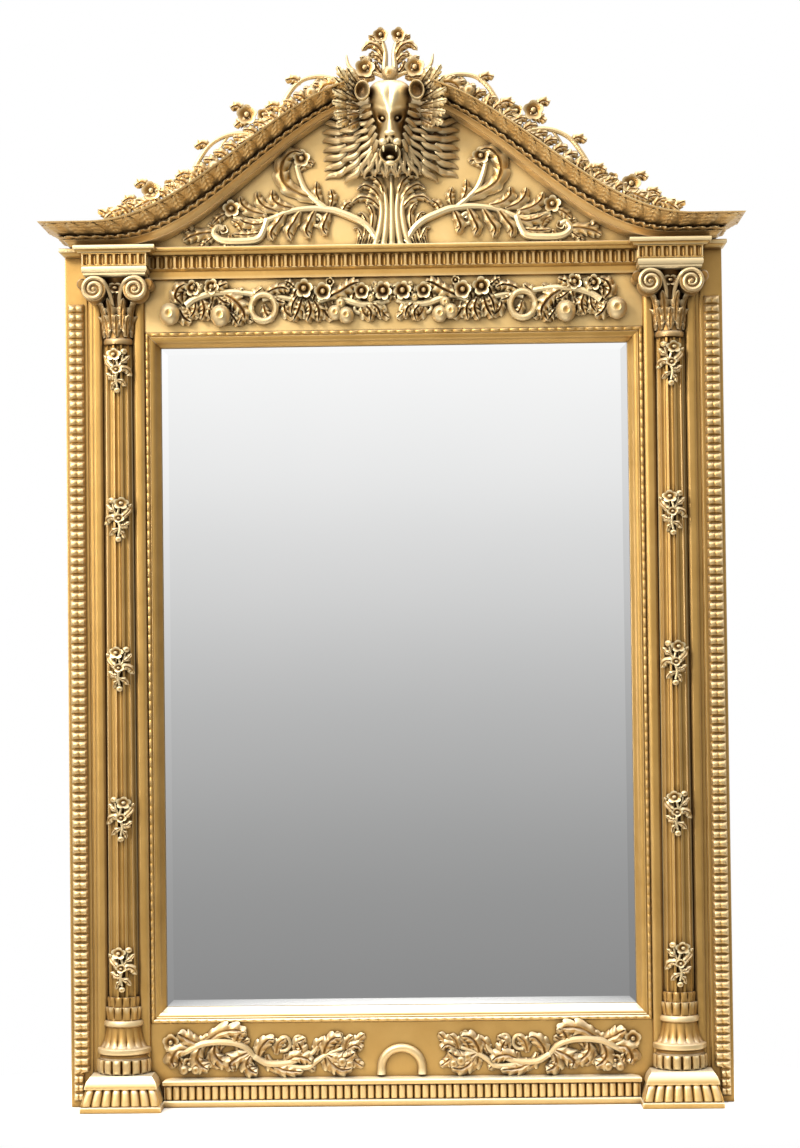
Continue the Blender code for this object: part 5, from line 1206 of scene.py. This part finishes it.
def beast_head():
    """Head from its crown down to the upper lip. Each level is half an ellipse from cheek to cheek, and the
    bridge and muzzle stand out of it as a flat-topped ridge. Brows, sockets, cheeks and nostrils are
    bell-shaped bumps and hollows. The levels' widths and depths run smoothly through the places listed."""
    levels = through(np.array(HEAD_LEVELS) / 1000, 110)[:, :, None]
    z, half, cheek, bridge, narrow = (levels[:, i] for i in range(5))
    turn = np.linspace(-np.pi / 2, np.pi / 2, 71)[None, :]
    x = half * np.sin(turn)
    depth = HEAD_BACK + (cheek - HEAD_BACK) * np.cos(turn) ** 0.55
    depth = depth + (bridge - cheek) * np.exp(-(np.abs(x / narrow) ** 2.6))
    side = np.abs(x)

    def bump(at_x, at_z, wide, tall):
        return np.exp(-(((side - at_x) / wide) ** 2) - ((z - at_z) / tall) ** 2)

    slant = z - 0.55 * (side - 0.014)
    socket = np.exp(-(((side - 0.0150) / 0.0078) ** 2) - ((slant - 1.9580) / 0.0058) ** 2)
    brow = np.exp(-(((side - 0.0190) / 0.0130) ** 2) - ((slant - 1.9710) / 0.0055) ** 2)
    depth = depth + 0.0085 * brow - 0.0190 * socket - 0.0030 * bump(0.0, 2.0000, 0.0050, 0.0240)
    depth = depth + 0.0050 * bump(0.015, 2.008, 0.011, 0.015) + 0.0050 * bump(0.017, 1.909, 0.007, 0.008)
    depth = depth - 0.0100 * bump(0.0065, 1.9150, 0.0034, 0.0034) - 0.0060 * bump(0.0, 1.9060, 0.0020, 0.0060)
    depth = depth - 0.0060 * bump(0.0215, 1.9380, 0.0060, 0.0120)
    back = np.full((len(z), 2), HEAD_BACK - 0.006)
    x = np.concatenate((x, 0.8 * x[:, -1:], 0.8 * x[:, :1]), axis=1)
    depth = np.concatenate((depth, back), axis=1)
    return skin(from_wall(x, depth, z))


def ball_at(x, depth, z, wide, deep, tall):
    """Ellipsoid about a middle, with its poles above and below."""
    polar = np.linspace(0.12, np.pi - 0.12, 12)[:, None]
    out, angle = np.sin(polar), circle(18)
    x, depth = x + wide * out * np.cos(angle), depth + deep * out * np.sin(angle)
    return skin(from_wall(x, depth, z + tall * np.cos(polar)))


def cup(x, z, front, wide, tall, sunk, back, tilt=0.0, swing=0.0):
    """Hollow cup open to the front, for an ear or a mouth. Its rings run from its floor out along the inside,
    over a round rim and back down the outside. The rim's depth grows with height by the tilt, and with
    distance to the right by the swing."""
    out = np.array([0.12, 0.50, 0.74, 0.84, 0.92, 1.00, 1.07, 1.08, 1.00, 0.80])[:, None]
    inside = np.array([1.0, 0.94, 0.70, 0.34, 0.07, 0.0, 0.0, 0.0, 0.0, 0.0])[:, None]
    outside = np.array([0.0, 0.0, 0.0, 0.0, 0.0, 0.0, 0.08, 0.28, 0.62, 1.0])[:, None]
    angle = circle(30)
    u, v = wide * out * np.cos(angle), tall * out * np.sin(angle)
    return skin(from_wall(x + u, front - sunk * inside - back * outside + swing * u + tilt * v, z + v))


def on_ruff(u, v, w):
    """Out from a low dome over the tympanum board, whose height falls off with distance from its middle."""
    away = np.hypot(u, (v - RUFF_HEIGHT) * 1.05) / 0.140
    return from_wall(u, TYMPANUM_FACE + 0.036 * np.clip(1 - away**2, 0, 1) + w, v)


def strand(u, v, length, angle, bend, radius, lift):
    """Lock of fur from its root: it runs off at an angle in degrees, sways either side of that line as a sine
    wave, swells and tapers to its tip."""
    t = np.linspace(0, 1, 9)
    along, across = length * t, bend * np.sin(1.8 * np.pi * t)
    cosine, sine = math.cos(math.radians(angle)), math.sin(math.radians(angle))
    u, v = u + along * cosine - across * sine, v + along * sine + across * cosine
    points = np.column_stack((u, v, np.full(len(t), lift)))
    return stem(points, radius * np.array([0.6, 0.9, 1.05, 1.0, 0.9, 0.65, 0.22]), sink=0.35, count=22)


dome_radius = np.array([1.0, 0.97, 0.85, 0.65, 0.40, 0.15])[:, None] * 0.112
dome = rings_at(dome_radius * np.cos(circle(48)), RUFF_HEIGHT + 0.76 * dome_radius * np.sin(circle(48)), 0.001)
mask = laid_on(on_ruff, [(np.concatenate((dome[:1] - (0, 0, 0.0010), dome)), "point")])

# Locks: three columns on each side that fan downwards, and long strands that hang below the jaw.
locks = []
for root, length, radius, lift, high, low, first, last, number in (
    (0.090, 0.048, 0.0066, 0.000, 1.974, 1.872, 8, -30, 8),
    (0.062, 0.046, 0.0062, 0.006, 1.982, 1.872, -2, -50, 8),
    (0.036, 0.044, 0.0050, 0.012, 1.976, 1.888, -16, -70, 8),
):
    for i, share in enumerate(np.linspace(0, 1, number)):
        angle = first + (last - first) * share
        z = high + (low - high) * share
        bend = 0.0042 if i % 2 else 0.0030
        locks.append(strand(root, z, length, angle, -bend, radius, lift))
        locks.append(strand(-root, z, length, 180 - angle, bend, radius, lift))
for i, u in enumerate(np.linspace(-0.052, 0.052, 14)):
    locks.append(strand(u * 0.8, 1.902, 0.044, -90 + 420 * u, 0.0030 * (-1) ** i, 0.0046, 0.014))
    locks.append(strand(u * 1.2, 1.878, 0.030 - 0.1 * abs(u), -90 + 560 * u, 0.0035 * (-1) ** i, 0.0050, 0.005))
mask += laid_on(on_ruff, locks)
nape = stack(
    [(0.0865, 0.0), (0.0865, 0.030), (-0.0865, 0.030), (-0.0865, 0.0)],
    [(-0.004, 1.934), (0.0, 1.938), (0.0, 2.022), (-0.006, 2.030), (-0.014, 2.0325)],
)
mask.append((nape[0] - (0, 0.050, 0), nape[1]))

# Leaves that spring from behind the ears, over the cut ends of the two cornices, and tufts on the cheeks.
CHEEK_TUFTS = (
    (38, 1984, 4), (36, 1970, -14), (32, 1956, -30), (29, 1942, -46), (27, 1928, -58), (25, 1915, -66),
)
tufts = []
for hand in (-1, 1):
    for i in range(6):
        angle = math.radians(48 - 18 * i)
        for root, near, far, length in ((0.060, 0.106, 0.134, 0.036), (0.080, 0.124, 0.156, 0.034)):
            route = []
            for t, depth in ((0.0, near), (0.5, (near + far) / 2 + 0.006), (1.0, far - 0.002)):
                across = root + length * t * math.cos(angle)
                up = length * t * math.sin(angle) + 0.006 * t * t
                route.append((hand * across, 2.026 - 0.0130 * i + up, depth - 0.0035 * i))
            tufts.append(leaf(route, 0.0100, 0.0100, 4, 0.35, 0.35))
    for x, z, degrees in CHEEK_TUFTS:
        t = np.linspace(0, 1, 3)
        across = x / 1000 + 0.024 * t * math.cos(math.radians(degrees))
        up = z / 1000 + 0.024 * t * math.sin(math.radians(degrees))
        route = np.column_stack((hand * across, up, 0.124 - 0.026 * t))
        tufts.append(stem(route, [0.0040, 0.0050, 0.0046, 0.0015], sink=0.3, count=13))
mask += laid_on(before(0.0), tufts)
mask.append(beast_head())

# The nose, the two halves of the lip, the fangs, the open jaw with its tongue, the chin and the ears.
mask.append(ball_at(0, 0.1700, 1.9215, 0.0110, 0.0065, 0.0055))
mask.append(cup(0.0, 1.8835, 0.1560, 0.0200, 0.0170, 0.034, 0.046, tilt=0.36))
mask.append(ball_at(0, 0.1400, 1.8770, 0.0085, 0.0130, 0.0050))
mask.append(ball_at(0, 0.1440, 1.8660, 0.0110, 0.0080, 0.0055))
for hand in (-1, 1):
    mask.append(ball_at(hand * 0.0140, 0.1310, 1.9580, 0.0036, 0.0036, 0.0030))
    mask.append(ball_at(hand * 0.0130, 0.1560, 1.9060, 0.0095, 0.0105, 0.0080))
    mask.append(ball_at(hand * 0.0125, 0.1590, 1.8930, 0.0024, 0.0026, 0.0075))
    mask.append(cup(hand * 0.054, 2.012, 0.148, 0.0145, 0.019, 0.022, 0.040, tilt=-0.20, swing=-0.35 * hand))
piece("beast_mask_carving", mask, MASK_GILDING, ["beast_mask"])

# Stage: a pale floor that fades out round the mirror's foot, a soft key from the upper left and a grey
# gradient in front, which is what the plate reflects.


def studio_world():
    """White towards the wall. Into the room, grey by height: the plate's own gradient within 7 degrees of
    level, a pale floor below it, and over it a ceiling brighter than white, which whitens what faces upwards.
    The room is lighter on the left and darker on the right."""
    world = bpy.data.worlds.new("studio")
    world.use_nodes = True
    tree = world.node_tree
    direction = add(tree, "ShaderNodeTexCoord").outputs["Generated"]
    across, depth, up = add(tree, "ShaderNodeSeparateXYZ", {"Vector": direction}).outputs
    ramp = add(tree, "ShaderNodeValToRGB", {"Fac": ranged(tree, up, -1.0, 1.0)})
    stops = (
        (-1.000, "#E0E0E0"),
        (-0.500, "#D6D6D6"),
        (-0.300, "#AAAAAA"),
        (-0.170, "#8C8C8C"),
        (-0.117, "#919191"),
        (-0.082, "#9C9C9C"),
        (-0.061, "#A6A6A6"),
        (-0.040, "#B2B2B2"),
        (-0.018, "#BDBDBD"),
        (0.003, "#CACACA"),
        (0.024, "#D8D8D8"),
        (0.045, "#E3E3E3"),
        (0.066, "#F0F0F0"),
        (0.108, "#FFFFFF"),
    )
    ramp.color_ramp.elements.remove(ramp.color_ramp.elements[1])
    for i, (level, colour) in enumerate(stops):
        element = ramp.color_ramp.elements[0] if i == 0 else ramp.color_ramp.elements.new((level + 1) / 2)
        element.position = (level + 1) / 2
        element.color = linear(colour)
    behind = ranged(tree, depth, -0.05, 0.05)
    sky = mixed(tree, behind, ramp.outputs["Color"], "#FFFFFF")
    ceiling = ranged(tree, up, 0.35, 0.90, 1.0, 3.4)
    left = ranged(tree, across, -0.15, -0.75, 1.0, 1.25)
    right = ranged(tree, across, 0.15, 0.75, 1.0, 0.45)
    sides = add(tree, "ShaderNodeMix", {0: behind, 2: times(tree, left, right), 3: 1.0}, data_type="FLOAT")
    fill(tree, tree.nodes["Background"], {"Color": sky, "Strength": times(tree, ceiling, sides.outputs[0])})
    bpy.context.scene.world = world


def area_light(name, place, target, size, power, colour, spread=180):
    """A square soft light at a place, turned to face its target, with its light kept within the spread."""
    data = bpy.data.lights.new(name, "AREA")
    data.size = size
    data.spread = math.radians(spread)
    data.energy = power
    data.color = linear(colour)[:3]
    light = bpy.data.objects.new(name, data)
    light.location = place
    ahead = Vector(target) - Vector(place)
    light.rotation_euler = ahead.to_track_quat("-Z", "Y").to_euler()
    bpy.context.scene.collection.objects.link(light)


studio_world()
area_light("key", (-2.3, -3.1, UNDERSIDE + 3.5), (0, 0, UNDERSIDE + 1.3), 1.2, 170, "#FFFAF2")
area_light("fill", (-2.6, -3.4, UNDERSIDE + 0.9), (-0.1, 0, UNDERSIDE + 2.00), 1.0, 5.0, "#FFFAF2", 45)

floor_corners = [(x, y, UNDERSIDE - 0.001) for x, y in ((-2, -1.3), (2, -1.3), (2, 1), (-2, 1))]
floor_mesh = bpy.data.meshes.new("studio_floor")
floor_mesh.from_pydata(floor_corners, [], [(0, 1, 2, 3)])
floor = bpy.data.objects.new("studio_floor", floor_mesh)
bpy.context.scene.collection.objects.link(floor)

# Pale paper, matt, so that it takes the mirror's shadow without a highlight. It fades out to nothing with
# distance from the origin, so that no edge shows.
paper, tree, shader = finish_named("pale_paper")
place = add(tree, "ShaderNodeTexCoord").outputs["Object"]
flat = add(tree, "ShaderNodeMapping", {"Vector": place, "Scale": (0.9, 1.6, 0.0)}).outputs["Vector"]
away = add(tree, "ShaderNodeVectorMath", {0: flat}, operation="LENGTH").outputs["Value"]
fill(tree, shader, {"Base Color": "#FAFAF8", "Roughness": 0.6})
clear = add(tree, "ShaderNodeBsdfTransparent").outputs[0]
faded = add(tree, "ShaderNodeMixShader", {0: ranged(tree, away, 0.62, 1.0), 1: shader.outputs[0], 2: clear})
fill(tree, tree.nodes["Material Output"], {"Surface": faded.outputs[0]})
floor_mesh.materials.append(paper)

lens = bpy.data.cameras.new("camera")
lens.sensor_width = 36
lens.lens = 87.7
camera = bpy.data.objects.new("camera", lens)
camera.location = (0.121, -5.643, UNDERSIDE + 0.878)
camera.rotation_euler = (math.radians(91.82), math.radians(0.675), math.radians(1.18))
bpy.context.scene.collection.objects.link(camera)
bpy.context.scene.camera = camera
bpy.context.scene.view_settings.view_transform = "Standard"
